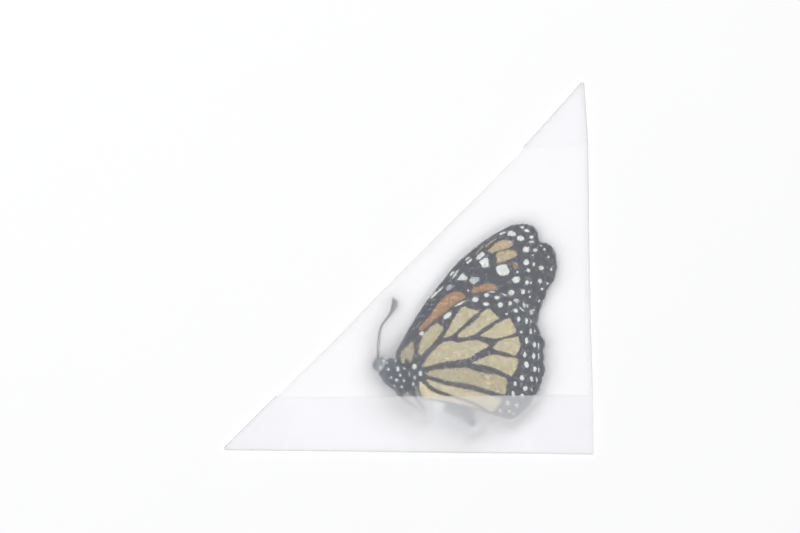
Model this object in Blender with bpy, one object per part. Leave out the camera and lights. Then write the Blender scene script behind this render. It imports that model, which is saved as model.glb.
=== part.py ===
"""A papered monarch butterfly in a folded glassine triangle envelope, lying flat.

Metres, +Z up. The envelope lies on its back panel, its front panel up, and the
butterfly inside lies on its right side with its head at the low X end.
Outlines are traced from the photograph in pixels and turned into millimetres.
"""
import math

import bmesh
import bpy
import numpy as np
from mathutils import Vector
from mathutils.geometry import delaunay_2d_cdt

# Picture scale and the pixel that becomes the origin
MM_PER_PX = 0.2564
CENTRE_PX = (408.55, 267.88)

# Paper, in millimetres. Real glassine is about 0.05 mm thick, and it is drawn at twice that.
PAPER_T = 0.10
LAYER_STEP = 0.20
GAP = 0.30
GRID_N = 30
STRIP_K = 5
FOLD_STEPS = 3
# How far the folds bulge outwards: the long one by its ends and how much more in its middle
LONG_FOLD_BULGE = (0.10, 0.32)
SIDE_FOLD_BULGE = 0.26
# How far around a high place the front panel is held up, in millimetres
DRAPE_REACH = 3.0

# Envelope outline in pixels: tip of the lower left, apex at the upper right, square corner
TIP_PX = (221.5, 449.9)
APEX_PX = (583.9, 79.2)
CORNER_PX = (593.3, 454.3)
RIGHT_LEG_PX = [(593.3, 454.3), (592.8, 390), (591.0, 330), (589.3, 250), (588.0, 140), (583.9, 79.2)]
# How far the long fold bows inwards from a straight line, in pixels, by share of its length
LONG_FOLD_BOW = [
    (0, 0), (0.1, 0.5), (0.2, 1.5), (0.3, 3.2), (0.5, 3.4), (0.7, 4.6), (0.8, 4.2), (0.9, 2.3), (1, 0),
]
# The free edge of the front flap: left end on the long fold, right end on the right leg
FLAP_LEFT_PX = (275.4, 398.8)
FLAP_RIGHT_PX = (592.9, 394.8)

# Insets of each layer's edges from the outline, in millimetres: long fold, right leg, bottom leg
INSETS = {
    "back": (0.45, 0.75, 0.30),
    "front": (0.45, 0.30, 0.75),
    "front_flap": (0.30, 0.02, 0.30),
    "front_flap_tab": (0.30, 0.30, 0.60),
    "back_flap": (0.30, 0.30, 0.75),
    "back_flap_tab": (0.30, 0.60, 0.30),
}

# Wing levels, undersides in millimetres above the table
WING_T = 0.12
LEVEL_HIND_RIGHT = 0.60
LEVEL_FORE_RIGHT = 1.05
LEVEL_FORE_LEFT = 1.50
LEVEL_HIND_LEFT = 1.96
# The left wings rise over the body by this much, fading over this distance
RISE_THORAX = 2.65
RISE_ABDOMEN = 1.95
RISE_REACH = 7.5
BODY_LINE_PX = [(399, 364), (411, 379), (440, 398), (474, 424)]

FOREWING_PX = [
    (396, 359), (396.5, 351.5), (402.3, 340), (412.3, 323), (425, 303), (439.2, 284.6),
    (460, 260.2), (480, 243.8), (500, 231.1), (510, 225.9), (516, 224.5), (523, 223.9),
    (528.5, 224.6), (533, 226.6), (537, 231.7), (538.8, 239.2), (539, 255), (536.5, 271),
    (532.5, 287), (530.5, 303), (528, 311), (523, 319), (500, 325), (470, 332),
    (445, 341), (425, 350), (412, 357), (404, 361),
]
# The far forewing is the near one turned about its root, and its showing margin is traced
FORE_RIGHT_TURN = 9.0
FORE_ROOT_PX = (398, 357)
FAR_LOBE_PX = [
    (534, 234), (541, 242), (549, 244.9), (554, 250.7), (556, 260.3), (556, 271),
    (552.5, 281.8), (547.5, 289.5), (543.5, 299.5), (539.3, 311), (538, 319), (536, 325),
]
HINDWING_PX = [
    (403, 366), (399.2, 360), (399.2, 353), (403, 346), (409, 340.5), (417, 335),
    (433, 322), (450, 308.5), (466, 298.5), (480, 293), (495, 291.3), (507, 295.5),
    (520, 306.5), (531, 319), (538, 328), (543.4, 339.3), (544.6, 350), (544.4, 366.2),
    (543.8, 373.8), (540.3, 384.7), (534, 395.9), (526.2, 408.2), (518, 415.7), (510.4, 419.1),
    (498, 416), (475, 409), (445, 402.5), (430, 399), (422, 393), (418.8, 384.6), (416, 376),
]
HIND_RIGHT_SHRINK = 0.985
HIND_RIGHT_ABOUT_PX = (505, 350)

# Body, in pixels in the plane and millimetres for sizes and heights
BODY_TURN = 31.6
HEAD_PX = (378.3, 365.2)
HEAD_SEMI = (1.35, 1.55, 1.35)
HEAD_Z = 2.4
THORAX_PX = (401, 378)
THORAX_SEMI = (4.9, 3.9, 2.1)
THORAX_Z = 2.5
ABDOMEN_PX = [(421.5, 391), (430, 395.5), (440, 400.5), (451, 405.5), (461, 411), (468, 417.5), (473, 425)]
ABDOMEN_HALF = [1.0, 1.75, 2.1, 2.2, 2.0, 1.5, 0.7]
ABDOMEN_FLAT = 0.50
ABDOMEN_Z = 2.12

# Antennae and walking legs: pixel position, height in mm and radius in mm
ANTENNA_LEFT = [
    (377.4, 357.4, 2.70, 0.17), (377.5, 346.7, 2.6, 0.16), (378.2, 338, 2.5, 0.16),
    (380.2, 327.5, 2.3, 0.17), (385.8, 318.8, 2.1, 0.19), (390.6, 312, 1.9, 0.22),
    (392.9, 304.2, 1.7, 0.34), (393.4, 300, 1.6, 0.36), (393.5, 297.6, 1.55, 0.20),
]
ANTENNA_RIGHT = [
    (378.6, 357.4, 1.90, 0.17), (379.2, 346.7, 1.8, 0.16), (379.7, 338, 1.7, 0.16),
    (381.4, 327.5, 1.55, 0.17), (386.6, 319.4, 1.4, 0.19), (392.5, 312.0, 1.25, 0.22),
    (395.8, 306.4, 1.1, 0.34), (396.3, 303, 1.05, 0.36), (395.5, 300.4, 1.0, 0.20),
]
LEG_MID_LEFT = [
    (391, 392.6, 2.9, 0.30), (396, 397.2, 2.6, 0.30), (404, 401.6, 2.2, 0.22), (411.5, 405, 1.7, 0.14),
]
LEG_HIND_LEFT = [
    (412, 401.4, 3.0, 0.30), (418, 403.8, 2.6, 0.28), (423.5, 408, 2.2, 0.22), (426, 412.5, 1.7, 0.14),
]
LEG_MID_RIGHT = [
    (389.2, 391, 1.5, 0.30), (395, 397.6, 1.3, 0.30), (401, 403, 1.0, 0.22), (408, 406.8, 0.8, 0.14),
]
LEG_HIND_RIGHT = [
    (410, 403, 0.95, 0.28), (415, 406.8, 0.95, 0.26), (420, 411.2, 1.0, 0.22), (424, 415.4, 0.8, 0.14),
]

# How many sides and rings the rounded pieces have, and the spacing in millimetres on the wings
HEAD_GRID = (16, 9)
THORAX_GRID = (22, 11)
ABDOMEN_SIDES = 16
LIMB_SIDES = 7
OUTLINE_STEP = 2.6
WING_SPACING = 3.6

COLOURS = {
    "glassine": (0.86, 0.88, 0.92, 0.45),
    "wing_black": (0.035, 0.03, 0.03, 1.0),
    "wing_orange": (0.60, 0.25, 0.08, 1.0),
    "wing_beige": (0.55, 0.47, 0.26, 1.0),
    "body_black": (0.03, 0.028, 0.03, 1.0),
}


def to_mm(points):
    """Pixels of the photograph to millimetres about the origin, Y up."""
    pts = np.array(points, dtype=float).reshape(-1, 2)
    return np.column_stack(((pts[:, 0] - CENTRE_PX[0]), (CENTRE_PX[1] - pts[:, 1]))) * MM_PER_PX


def smooth_loop(points, step):
    """A closed curve through the points, sampled about every step."""
    pts = np.asarray(points, dtype=float)
    count = len(pts)
    out = []
    for i in range(count):
        p0, p1, p2, p3 = (pts[(i + j - 1) % count] for j in range(4))
        length = np.linalg.norm(p2 - p1)
        parts = max(1, int(round(length / step)))
        for s in range(parts):
            t = s / parts
            out.append(0.5 * (2 * p1 + (p2 - p0) * t + (2 * p0 - 5 * p1 + 4 * p2 - p3) * t * t
                              + (3 * p1 - p0 - 3 * p2 + p3) * t ** 3))
    return np.array(out)


def inside(poly, x, y):
    """True where (x, y) is inside the closed polygon."""
    hit = np.zeros(np.shape(x), dtype=bool)
    for (x0, y0), (x1, y1) in zip(poly, np.roll(poly, -1, axis=0)):
        if y0 == y1:
            continue
        crosses = (y0 > y) != (y1 > y)
        hit ^= crosses & (x < x0 + (x1 - x0) * (y - y0) / (y1 - y0))
    return hit


def line_distance(path, x, y):
    """Distance to an open line, and how far along it the nearest point is, from 0 to 1."""
    best = np.full(np.shape(x), 1e9)
    along = np.zeros(np.shape(x))
    parts = len(path) - 1
    for i in range(parts):
        a, b = path[i], path[i + 1]
        d = b - a
        t = np.clip(((x - a[0]) * d[0] + (y - a[1]) * d[1]) / (d @ d), 0, 1)
        dist = np.hypot(x - a[0] - t * d[0], y - a[1] - t * d[1])
        nearer = dist < best
        best = np.where(nearer, dist, best)
        along = np.where(nearer, (i + t) / parts, along)
    return best, along


def left_rise(x, y):
    """How far the left wings are lifted where they cover the body."""
    dist, along = line_distance(to_mm(BODY_LINE_PX), x, y)
    height = RISE_THORAX + (RISE_ABDOMEN - RISE_THORAX) * np.clip(along * 1.6, 0, 1)
    return height * np.exp(-(dist / RISE_REACH) ** 2)


def wing_height(name, x, y):
    """Underside of a wing."""
    if name == "hindwing_right":
        return np.full(np.shape(x), LEVEL_HIND_RIGHT)
    if name == "forewing_right":
        return np.full(np.shape(x), LEVEL_FORE_RIGHT)
    level = LEVEL_FORE_LEFT if name == "forewing_left" else LEVEL_HIND_LEFT
    return level + left_rise(x, y)


def wing_outlines(step):
    """Closed outline of each wing in millimetres."""
    fore = to_mm(FOREWING_PX)
    hind = to_mm(HINDWING_PX)
    root = to_mm([FORE_ROOT_PX])[0]
    turn = math.radians(-FORE_RIGHT_TURN)
    rot = np.array([[math.cos(turn), -math.sin(turn)], [math.sin(turn), math.cos(turn)]])
    far = (fore - root) @ rot.T + root
    lobe = to_mm(FAR_LOBE_PX)
    far = np.vstack((far[:9], lobe, far[22:]))
    about = to_mm([HIND_RIGHT_ABOUT_PX])[0]
    back = about + (hind - about) * HIND_RIGHT_SHRINK
    return {
        "forewing_left": smooth_loop(fore, step),
        "forewing_right": smooth_loop(far, step),
        "hindwing_left": smooth_loop(hind, step),
        "hindwing_right": smooth_loop(back, step),
    }


def ellipsoid_top(centre, semi, turn, z, x, y):
    """Upper surface of an ellipsoid turned in the plane, or -1 outside it."""
    c, s = math.cos(math.radians(-turn)), math.sin(math.radians(-turn))
    dx, dy = x - centre[0], y - centre[1]
    u, v = dx * c + dy * s, -dx * s + dy * c
    left = 1 - (u / semi[0]) ** 2 - (v / semi[1]) ** 2
    return np.where(left > 0, z + semi[2] * np.sqrt(np.maximum(left, 0)), -1.0)


def tube_top(path, x, y, factor=1.0):
    """Upper surface of a tube given as pixel, pixel, height, radius rows."""
    rows = np.array(path, dtype=float)
    line = to_mm(rows[:, :2])
    dist, along = line_distance(line, x, y)
    spots = np.linspace(0, 1, len(rows))
    z = np.interp(along, spots, rows[:, 2])
    r = np.interp(along, spots, rows[:, 3])
    return np.where(dist < r + 0.3, z + r * factor, -1.0)


def contents_top(outlines, x, y):
    """Highest point of the butterfly at each place."""
    top = np.full(np.shape(x), PAPER_T)
    for name, loop in outlines.items():
        top = np.where(inside(loop, x, y), np.maximum(top, wing_height(name, x, y) + WING_T), top)
    for spot, semi, z in ((HEAD_PX, HEAD_SEMI, HEAD_Z), (THORAX_PX, THORAX_SEMI, THORAX_Z)):
        top = np.maximum(top, ellipsoid_top(to_mm([spot])[0], semi, BODY_TURN, z, x, y))
    for path in (ANTENNA_LEFT, ANTENNA_RIGHT, LEG_MID_LEFT, LEG_HIND_LEFT, LEG_MID_RIGHT, LEG_HIND_RIGHT):
        top = np.maximum(top, tube_top(path, x, y))
    belly = [(px, py, ABDOMEN_Z, half) for (px, py), half in zip(ABDOMEN_PX, ABDOMEN_HALF)]
    return np.maximum(top, tube_top(belly, x, y, ABDOMEN_FLAT))


def offset_point(line_a, shift_a, line_b, shift_b):
    """Where two lines meet after each is moved along its own inward normal."""
    (p, d, n), (q, e, m) = line_a, line_b
    p, q = p + n * shift_a, q + m * shift_b
    t = np.linalg.solve(np.column_stack((d, -e)), q - p)
    return p + d * t[0]


def frame_line(a, b, inner):
    """A line as a point, a direction and the unit normal towards the inner point."""
    d = (b - a) / np.linalg.norm(b - a)
    n = np.array([-d[1], d[0]])
    return (a, d, n if (inner - a) @ n > 0 else -n)


def layer_grid(insets, count, strip):
    """Positions of one layer's grid: row k runs from the long fold to the right leg."""
    long_in, right_in, bottom_in = insets
    tip, apex, corner = to_mm([TIP_PX])[0], to_mm([APEX_PX])[0], to_mm([CORNER_PX])[0]
    mid = (tip + apex + corner) / 3
    leg = to_mm(RIGHT_LEG_PX)
    long_line = frame_line(tip, apex, mid)
    bottom_line = frame_line(tip, corner, mid)
    low_leg = frame_line(leg[0], leg[1], mid)
    high_leg = frame_line(leg[-2], leg[-1], mid)
    tip_in = offset_point(long_line, long_in, bottom_line, bottom_in)
    corner_in = offset_point(low_leg, right_in, bottom_line, bottom_in)
    apex_in = offset_point(long_line, long_in, high_leg, right_in)
    leg_in = leg + np.array([-1.0, 0.0]) * right_in
    leg_in[0], leg_in[-1] = corner_in, apex_in
    flap_l, flap_r = to_mm([FLAP_LEFT_PX])[0], to_mm([FLAP_RIGHT_PX])[0]
    left_share = np.linalg.norm(flap_l - tip) / np.linalg.norm(apex - tip)
    right_y = flap_r[1]
    bow = np.array(LONG_FOLD_BOW, dtype=float)
    grid = np.zeros((count + 1, count + 1, 2))
    for k in range(count + 1):
        if k <= strip:
            share = left_share * k / strip
            y = corner_in[1] + (right_y - corner_in[1]) * k / strip
        else:
            up = (k - strip) / (count - strip)
            share = left_share + (1 - left_share) * up
            y = right_y + (apex_in[1] - right_y) * up
        inward = long_line[2] * np.interp(share, bow[:, 0], bow[:, 1]) * MM_PER_PX
        left = tip_in + (apex_in - tip_in) * share + inward
        order = np.argsort(leg_in[:, 1])
        right = np.array([np.interp(y, leg_in[order, 1], leg_in[order, 0]), y])
        if k == count:
            left = right = apex_in
        for m in range(k, count + 1):
            t = (m - k) / (count - k) if k < count else 0.0
            grid[m, k] = left + (right - left) * t
    return grid


def edge_level(count, strip, middle):
    """Height of the front panel at an edge: tight by both corners, open in the middle."""
    s = np.linspace(0, 1, count + 1)
    low, high = strip / count, 1 - strip / count
    inner = np.clip((s - low) / (high - low), 0, 1)
    return PAPER_T / 2 + 2 * LAYER_STEP + middle * np.sin(math.pi * inner) ** 2


def drape(grid, outlines, count, strip, reach):
    """Middle surface of the front panel: a sheet pulled down over the contents."""
    x, y = grid[..., 0], grid[..., 1]
    floor = np.full(x.shape, -1.0)
    for radius in (0.0, 0.35 * reach, 0.7 * reach, reach):
        for a in np.linspace(0, 2 * math.pi, 16, endpoint=False):
            top = contents_top(outlines, x + radius * math.cos(a), y + radius * math.sin(a))
            floor = np.maximum(floor, top)
    floor = floor + GAP + PAPER_T / 2
    m, k = np.meshgrid(np.arange(count + 1), np.arange(count + 1), indexing="ij")
    held = (m == k) | (k == 0) | (m == count)
    free = (m > k) & ~held
    z = np.zeros(x.shape)
    z[m == k] = edge_level(count, strip, 0.5)
    z[:, 0] = edge_level(count, strip, 0.4)
    z[count, :] = edge_level(count, strip, 0.35)
    for _ in range(40 * count):
        near = np.zeros(x.shape)
        for dm, dk in ((1, 0), (-1, 0), (0, 1), (0, -1), (1, 1), (-1, -1)):
            near += np.roll(z, (-dm, -dk), axis=(0, 1))
        z = np.where(free, np.maximum(near / 6, floor), z)
    return z


class Sheet:
    """Middle surface of the folded sheet: points and triangles."""

    def __init__(self):
        self.points = []
        self.faces = []

    def panel(self, grid, z, keep, up):
        """Adds the part of a grid for which keep(m, k) is true, and returns its point numbers."""
        count = grid.shape[0] - 1
        ids = {}
        for k in range(count + 1):
            for m in range(k, count + 1):
                if keep(m, k):
                    ids[m, k] = len(self.points)
                    self.points.append((grid[m, k, 0], grid[m, k, 1], z[m, k]))
        for k in range(count):
            for m in range(k, count):
                for tri in (((m, k), (m + 1, k), (m + 1, k + 1)), ((m, k), (m + 1, k + 1), (m, k + 1))):
                    if all(v in ids for v in tri):
                        nums = [ids[v] for v in tri]
                        self.faces.append(nums if up else nums[::-1])
        return ids

    def fold(self, low, high, outward, bulge, steps):
        """Joins two edges, given as lists of point numbers, by a rounded fold."""
        rows = []
        for i, (a, b) in enumerate(zip(low, high)):
            pa, pb = np.array(self.points[a]), np.array(self.points[b])
            mid, half = (pa + pb) / 2, (pb - pa) / 2
            push = np.array([outward[0], outward[1], 0.0]) * bulge[i]
            row = [a]
            for s in range(1, steps + 1):
                angle = -math.pi / 2 + math.pi * s / (steps + 1)
                row.append(len(self.points))
                self.points.append(tuple(mid + half * math.sin(angle) + push * math.cos(angle)))
            rows.append(row + [b])
        side = np.array([outward[0], outward[1], 0.0])
        for r0, r1 in zip(rows, rows[1:]):
            for j in range(len(r0) - 1):
                quad = [r0[j], r1[j], r1[j + 1], r0[j + 1]]
                p = [np.array(self.points[v]) for v in quad]
                normal = np.cross(p[2] - p[0], p[3] - p[1])
                if normal @ side < 0:
                    quad.reverse()
                self.faces.append([quad[0], quad[1], quad[2]])
                self.faces.append([quad[0], quad[2], quad[3]])

    def solid(self, thickness):
        """The sheet with its thickness: points and faces of one closed body."""
        pts = np.array(self.points)
        faces = np.array(self.faces)
        normal = np.zeros_like(pts)
        face_n = np.cross(pts[faces[:, 1]] - pts[faces[:, 0]], pts[faces[:, 2]] - pts[faces[:, 0]])
        for j in range(3):
            np.add.at(normal, faces[:, j], face_n)
        normal /= np.linalg.norm(normal, axis=1)[:, None]
        total = len(pts)
        out = np.vstack((pts + normal * thickness / 2, pts - normal * thickness / 2))
        solid = [list(f) for f in faces] + [[int(v) + total for v in f[::-1]] for f in faces]
        seen = {}
        for f in faces:
            for a, b in ((f[0], f[1]), (f[1], f[2]), (f[2], f[0])):
                seen[int(a), int(b)] = True
        for a, b in seen:
            if (b, a) not in seen:
                solid.append([b, a, a + total])
                solid.append([b, a + total, b + total])
        return out, solid


def envelope_solid(count, strip, fold_steps, reach):
    """The whole envelope, one sheet folded six ways."""
    grids = {name: layer_grid(insets, count, strip) for name, insets in INSETS.items()}
    outlines = wing_outlines(1.5)
    front_z = drape(grids["front"], outlines, count, strip, reach)
    m, k = np.meshgrid(np.arange(count + 1), np.arange(count + 1), indexing="ij")
    ground = np.full(m.shape, PAPER_T / 2)
    over_flap = (m >= count - strip - 1) | (m <= strip + 1)
    back_z = np.where(over_flap, ground + LAYER_STEP, ground)
    upper_z = front_z + LAYER_STEP

    sheet = Sheet()
    back = sheet.panel(grids["back"], back_z, lambda a, b: True, False)
    front = sheet.panel(grids["front"], front_z, lambda a, b: True, True)
    flap = sheet.panel(grids["front_flap"], upper_z, lambda a, b: b <= strip, True)
    tuck = sheet.panel(grids["front_flap_tab"], ground, lambda a, b: a <= strip, False)
    rear = sheet.panel(grids["back_flap"], ground, lambda a, b: a >= count - strip, False)
    tab = sheet.panel(grids["back_flap_tab"], upper_z, lambda a, b: b >= count - strip, True)

    tip, apex, corner = to_mm([TIP_PX])[0], to_mm([APEX_PX])[0], to_mm([CORNER_PX])[0]
    mid = (tip + apex + corner) / 3
    long_out = -frame_line(tip, apex, mid)[2]
    bottom_out = -frame_line(tip, corner, mid)[2]
    right_out = -frame_line(corner, apex, mid)[2]
    every = range(count + 1)
    s = np.linspace(0, 1, count + 1)
    low, high = strip / count, 1 - strip / count
    middle = np.sin(math.pi * np.clip((s - low) / (high - low), 0, 1)) ** 2
    sheet.fold([back[i, i] for i in every], [front[i, i] for i in every], long_out,
               LONG_FOLD_BULGE[0] + LONG_FOLD_BULGE[1] * middle, fold_steps)
    same = np.full(count + 1, SIDE_FOLD_BULGE)
    sheet.fold([back[i, 0] for i in every], [flap[i, 0] for i in every], bottom_out, same, fold_steps)
    sheet.fold([rear[count, i] for i in every], [front[count, i] for i in every], right_out, same, fold_steps)
    ends = range(strip + 1)
    sheet.fold([tuck[i, i] for i in ends], [flap[i, i] for i in ends], long_out, same, fold_steps)
    tops = range(count - strip, count + 1)
    sheet.fold([rear[i, i] for i in tops], [tab[i, i] for i in tops], long_out, same, fold_steps)
    return sheet.solid(PAPER_T)


def plate_solid(loop, bottom, thickness, spacing):
    """A thin plate over an outline, its underside following bottom(x, y)."""
    count = len(loop)
    low, high = loop.min(axis=0), loop.max(axis=0)
    xs = np.arange(low[0] + spacing / 2, high[0], spacing)
    ys = np.arange(low[1] + spacing / 2, high[1], spacing)
    gx, gy = (g.ravel() for g in np.meshgrid(xs, ys))
    keep = inside(loop, gx, gy)
    gx, gy = gx[keep], gy[keep]
    ring = np.vstack((loop, loop[:1]))
    dist, _ = line_distance(ring, gx, gy)
    gx, gy = gx[dist > spacing * 0.45], gy[dist > spacing * 0.45]
    verts = [Vector((float(a), float(b))) for a, b in np.vstack((loop, np.column_stack((gx, gy))))]
    edges = [(i, (i + 1) % count) for i in range(count)]
    pts, _, tris, _, _, _ = delaunay_2d_cdt(verts, edges, [], 1, 1e-6)
    flat = np.array([(p.x, p.y) for p in pts])
    z = bottom(flat[:, 0], flat[:, 1])
    total = len(flat)
    points = np.vstack((np.column_stack((flat, z + thickness)), np.column_stack((flat, z))))
    faces = []
    for a, b, c in tris:
        area = np.cross(np.append(flat[b] - flat[a], 0), np.append(flat[c] - flat[a], 0))[2]
        tri = [a, b, c] if area > 0 else [a, c, b]
        faces.append(tri)
        faces.append([v + total for v in tri[::-1]])
    used = {}
    for f in faces[::2]:
        for a, b in ((f[0], f[1]), (f[1], f[2]), (f[2], f[0])):
            used[a, b] = True
    for a, b in used:
        if (b, a) not in used:
            faces.append([b, a, a + total])
            faces.append([b, a + total, b + total])
    return points, faces


def tube_solid(path, sides, flat=1.0):
    """A round or flattened tube along pixel, pixel, height, radius rows, with closed ends."""
    rows = np.array(path, dtype=float)
    centre = np.column_stack((to_mm(rows[:, :2]), rows[:, 2]))
    points, faces = [], []
    for i, c in enumerate(centre):
        ahead = centre[min(i + 1, len(centre) - 1)] - centre[max(i - 1, 0)]
        ahead /= np.linalg.norm(ahead)
        side = np.cross(ahead, (0, 0, 1.0))
        side /= np.linalg.norm(side)
        up = np.cross(side, ahead)
        for s in range(sides):
            a = 2 * math.pi * s / sides
            points.append(c + rows[i, 3] * (side * math.cos(a) + up * math.sin(a) * flat))
    for i in range(len(centre) - 1):
        for s in range(sides):
            a, b = i * sides + s, i * sides + (s + 1) % sides
            faces.append([a, b, b + sides, a + sides])
    last = (len(centre) - 1) * sides
    first_tip = len(points)
    direction = centre[0] - centre[1]
    points.append(centre[0] + direction / np.linalg.norm(direction) * rows[0, 3] * 0.6)
    direction = centre[-1] - centre[-2]
    points.append(centre[-1] + direction / np.linalg.norm(direction) * rows[-1, 3] * 0.6)
    for s in range(sides):
        faces.append([(s + 1) % sides, s, first_tip])
        faces.append([last + s, last + (s + 1) % sides, first_tip + 1])
    return np.array(points), faces


def ellipsoid_solid(spot, semi, turn, z, segments, rings):
    """A closed ellipsoid turned in the plane."""
    mesh = bmesh.new()
    bmesh.ops.create_uvsphere(mesh, u_segments=segments, v_segments=rings, radius=1.0)
    mesh.verts.ensure_lookup_table()
    centre = to_mm([spot])[0]
    c, s = math.cos(math.radians(-turn)), math.sin(math.radians(-turn))
    points = []
    for v in mesh.verts:
        u, w = v.co.x * semi[0], v.co.y * semi[1]
        points.append((centre[0] + u * c - w * s, centre[1] + u * s + w * c, z + v.co.z * semi[2]))
    faces = [[v.index for v in f.verts] for f in mesh.faces]
    mesh.free()
    return np.array(points), faces


def material(name, colour):
    made = bpy.data.materials.get(name) or bpy.data.materials.new(name)
    made.use_nodes = True
    shader = made.node_tree.nodes["Principled BSDF"]
    shader.inputs["Base Color"].default_value = colour
    shader.inputs["Roughness"].default_value = 0.5
    shader.inputs["Alpha"].default_value = colour[3]
    made.diffuse_color = colour
    return made


def add_piece(name, solid, slot, smooth):
    """Makes one object from points in millimetres, facing out."""
    points, faces = solid
    mesh = bpy.data.meshes.new(name)
    metres = [tuple(float(c) * 0.001 for c in p) for p in points]
    mesh.from_pydata(metres, [], [tuple(int(v) for v in f) for f in faces])
    work = bmesh.new()
    work.from_mesh(mesh)
    bmesh.ops.recalc_face_normals(work, faces=work.faces)
    if work.calc_volume(signed=True) < 0:
        bmesh.ops.reverse_faces(work, faces=work.faces)
    work.to_mesh(mesh)
    work.free()
    mesh.materials.append(material(slot, COLOURS[slot]))
    for poly in mesh.polygons:
        poly.use_smooth = smooth
    obj = bpy.data.objects.new(name, mesh)
    bpy.context.scene.collection.objects.link(obj)
    return obj


def main():
    for obj in list(bpy.data.objects):
        bpy.data.objects.remove(obj, do_unlink=True)
    add_piece("glassine_envelope", envelope_solid(GRID_N, STRIP_K, FOLD_STEPS, DRAPE_REACH), "glassine", False)
    slots = {
        "forewing_left": "wing_orange", "forewing_right": "wing_black",
        "hindwing_left": "wing_beige", "hindwing_right": "wing_beige",
    }
    for name, loop in wing_outlines(OUTLINE_STEP).items():
        under = lambda x, y, wing=name: wing_height(wing, x, y)
        add_piece(name, plate_solid(loop, under, WING_T, WING_SPACING), slots[name], False)
    add_piece("head", ellipsoid_solid(HEAD_PX, HEAD_SEMI, BODY_TURN, HEAD_Z, *HEAD_GRID), "body_black", True)
    thorax = ellipsoid_solid(THORAX_PX, THORAX_SEMI, BODY_TURN, THORAX_Z, *THORAX_GRID)
    add_piece("thorax", thorax, "body_black", True)
    belly = [(px, py, ABDOMEN_Z, half) for (px, py), half in zip(ABDOMEN_PX, ABDOMEN_HALF)]
    add_piece("abdomen", tube_solid(belly, ABDOMEN_SIDES, ABDOMEN_FLAT), "body_black", True)
    for name, path in (
        ("antenna_left", ANTENNA_LEFT), ("antenna_right", ANTENNA_RIGHT),
        ("leg_mid_left", LEG_MID_LEFT), ("leg_mid_right", LEG_MID_RIGHT),
        ("leg_hind_left", LEG_HIND_LEFT), ("leg_hind_right", LEG_HIND_RIGHT),
    ):
        add_piece(name, tube_solid(path, LIMB_SIDES), "body_black", True)


main()
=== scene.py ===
import math

import bmesh
import bpy
import numpy as np
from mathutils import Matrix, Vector
from mathutils.geometry import delaunay_2d_cdt


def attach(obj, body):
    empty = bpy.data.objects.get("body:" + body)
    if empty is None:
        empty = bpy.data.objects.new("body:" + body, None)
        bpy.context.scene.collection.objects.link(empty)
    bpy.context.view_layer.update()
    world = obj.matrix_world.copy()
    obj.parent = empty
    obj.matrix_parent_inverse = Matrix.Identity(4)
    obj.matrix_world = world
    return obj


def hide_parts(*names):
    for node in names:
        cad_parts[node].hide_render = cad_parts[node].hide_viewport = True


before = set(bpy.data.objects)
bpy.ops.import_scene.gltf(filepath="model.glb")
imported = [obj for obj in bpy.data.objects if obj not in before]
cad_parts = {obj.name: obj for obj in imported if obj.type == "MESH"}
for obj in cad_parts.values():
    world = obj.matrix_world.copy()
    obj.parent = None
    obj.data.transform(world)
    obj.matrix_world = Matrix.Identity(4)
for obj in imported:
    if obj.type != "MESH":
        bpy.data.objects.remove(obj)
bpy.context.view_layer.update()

scene = bpy.context.scene
scene.view_settings.view_transform = "Standard"
print("frame loaded")

# The photograph's pixels, and what one of them is on the object
picture = {"mmPerPixel": 0.2564, "centre": (408.55, 267.88), "width": 800, "middle": (400, 266.5)}


def toMm(points):  # picture pixels to millimetres about the origin, Y up
    pts = np.array(points, dtype=float).reshape(-1, 2)
    x = (pts[:, 0] - picture["centre"][0]) * picture["mmPerPixel"]
    y = (picture["centre"][1] - pts[:, 1]) * picture["mmPerPixel"]
    return np.column_stack((x, y))


def toPixels(x, y):
    return x / picture["mmPerPixel"] + picture["centre"][0], picture["centre"][1] - y / picture["mmPerPixel"]


# Drawing helpers
def smoothLoop(points, step):  # closed curve through the points
    pts = np.asarray(points, dtype=float)
    count = len(pts)
    out = []
    for i in range(count):
        p0, p1, p2, p3 = (pts[(i + j - 1) % count] for j in range(4))
        parts = max(1, int(round(np.linalg.norm(p2 - p1) / step)))
        for s in range(parts):
            t = s / parts
            bend = (2 * p0 - 5 * p1 + 4 * p2 - p3) * t * t + (3 * p1 - p0 - 3 * p2 + p3) * t ** 3
            out.append(0.5 * (2 * p1 + (p2 - p0) * t + bend))
    return np.array(out)


def smoothLine(points, step):  # open curve through rows of any width
    pts = np.asarray(points, dtype=float)
    pts = np.vstack((2 * pts[0] - pts[1], pts, 2 * pts[-1] - pts[-2]))
    out = []
    for i in range(1, len(pts) - 2):
        p0, p1, p2, p3 = pts[i - 1:i + 3]
        parts = max(1, int(round(np.linalg.norm((p2 - p1)[:2]) / step)))
        for s in range(parts):
            t = s / parts
            bend = (2 * p0 - 5 * p1 + 4 * p2 - p3) * t * t + (3 * p1 - p0 - 3 * p2 + p3) * t ** 3
            out.append(0.5 * (2 * p1 + (p2 - p0) * t + bend))
    out.append(pts[-2])
    return np.array(out)


def inside(poly, x, y):
    hit = np.zeros(np.shape(x), dtype=bool)
    for (x0, y0), (x1, y1) in zip(poly, np.roll(poly, -1, axis=0)):
        if y0 != y1:
            hit ^= ((y0 > y) != (y1 > y)) & (x < x0 + (x1 - x0) * (y - y0) / (y1 - y0))
    return hit


def lineDistance(path, x, y):  # distance to an open line, and where along it from 0 to 1
    best = np.full(np.shape(x), 1e9)
    along = np.zeros(np.shape(x))
    parts = len(path) - 1
    for i in range(parts):
        a, b = path[i], path[i + 1]
        d = b - a
        t = np.clip(((x - a[0]) * d[0] + (y - a[1]) * d[1]) / (d @ d + 1e-12), 0, 1)
        dist = np.hypot(x - a[0] - t * d[0], y - a[1] - t * d[1])
        nearer = dist < best
        best = np.where(nearer, dist, best)
        along = np.where(nearer, (i + t) / parts, along)
    return best, along


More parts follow.
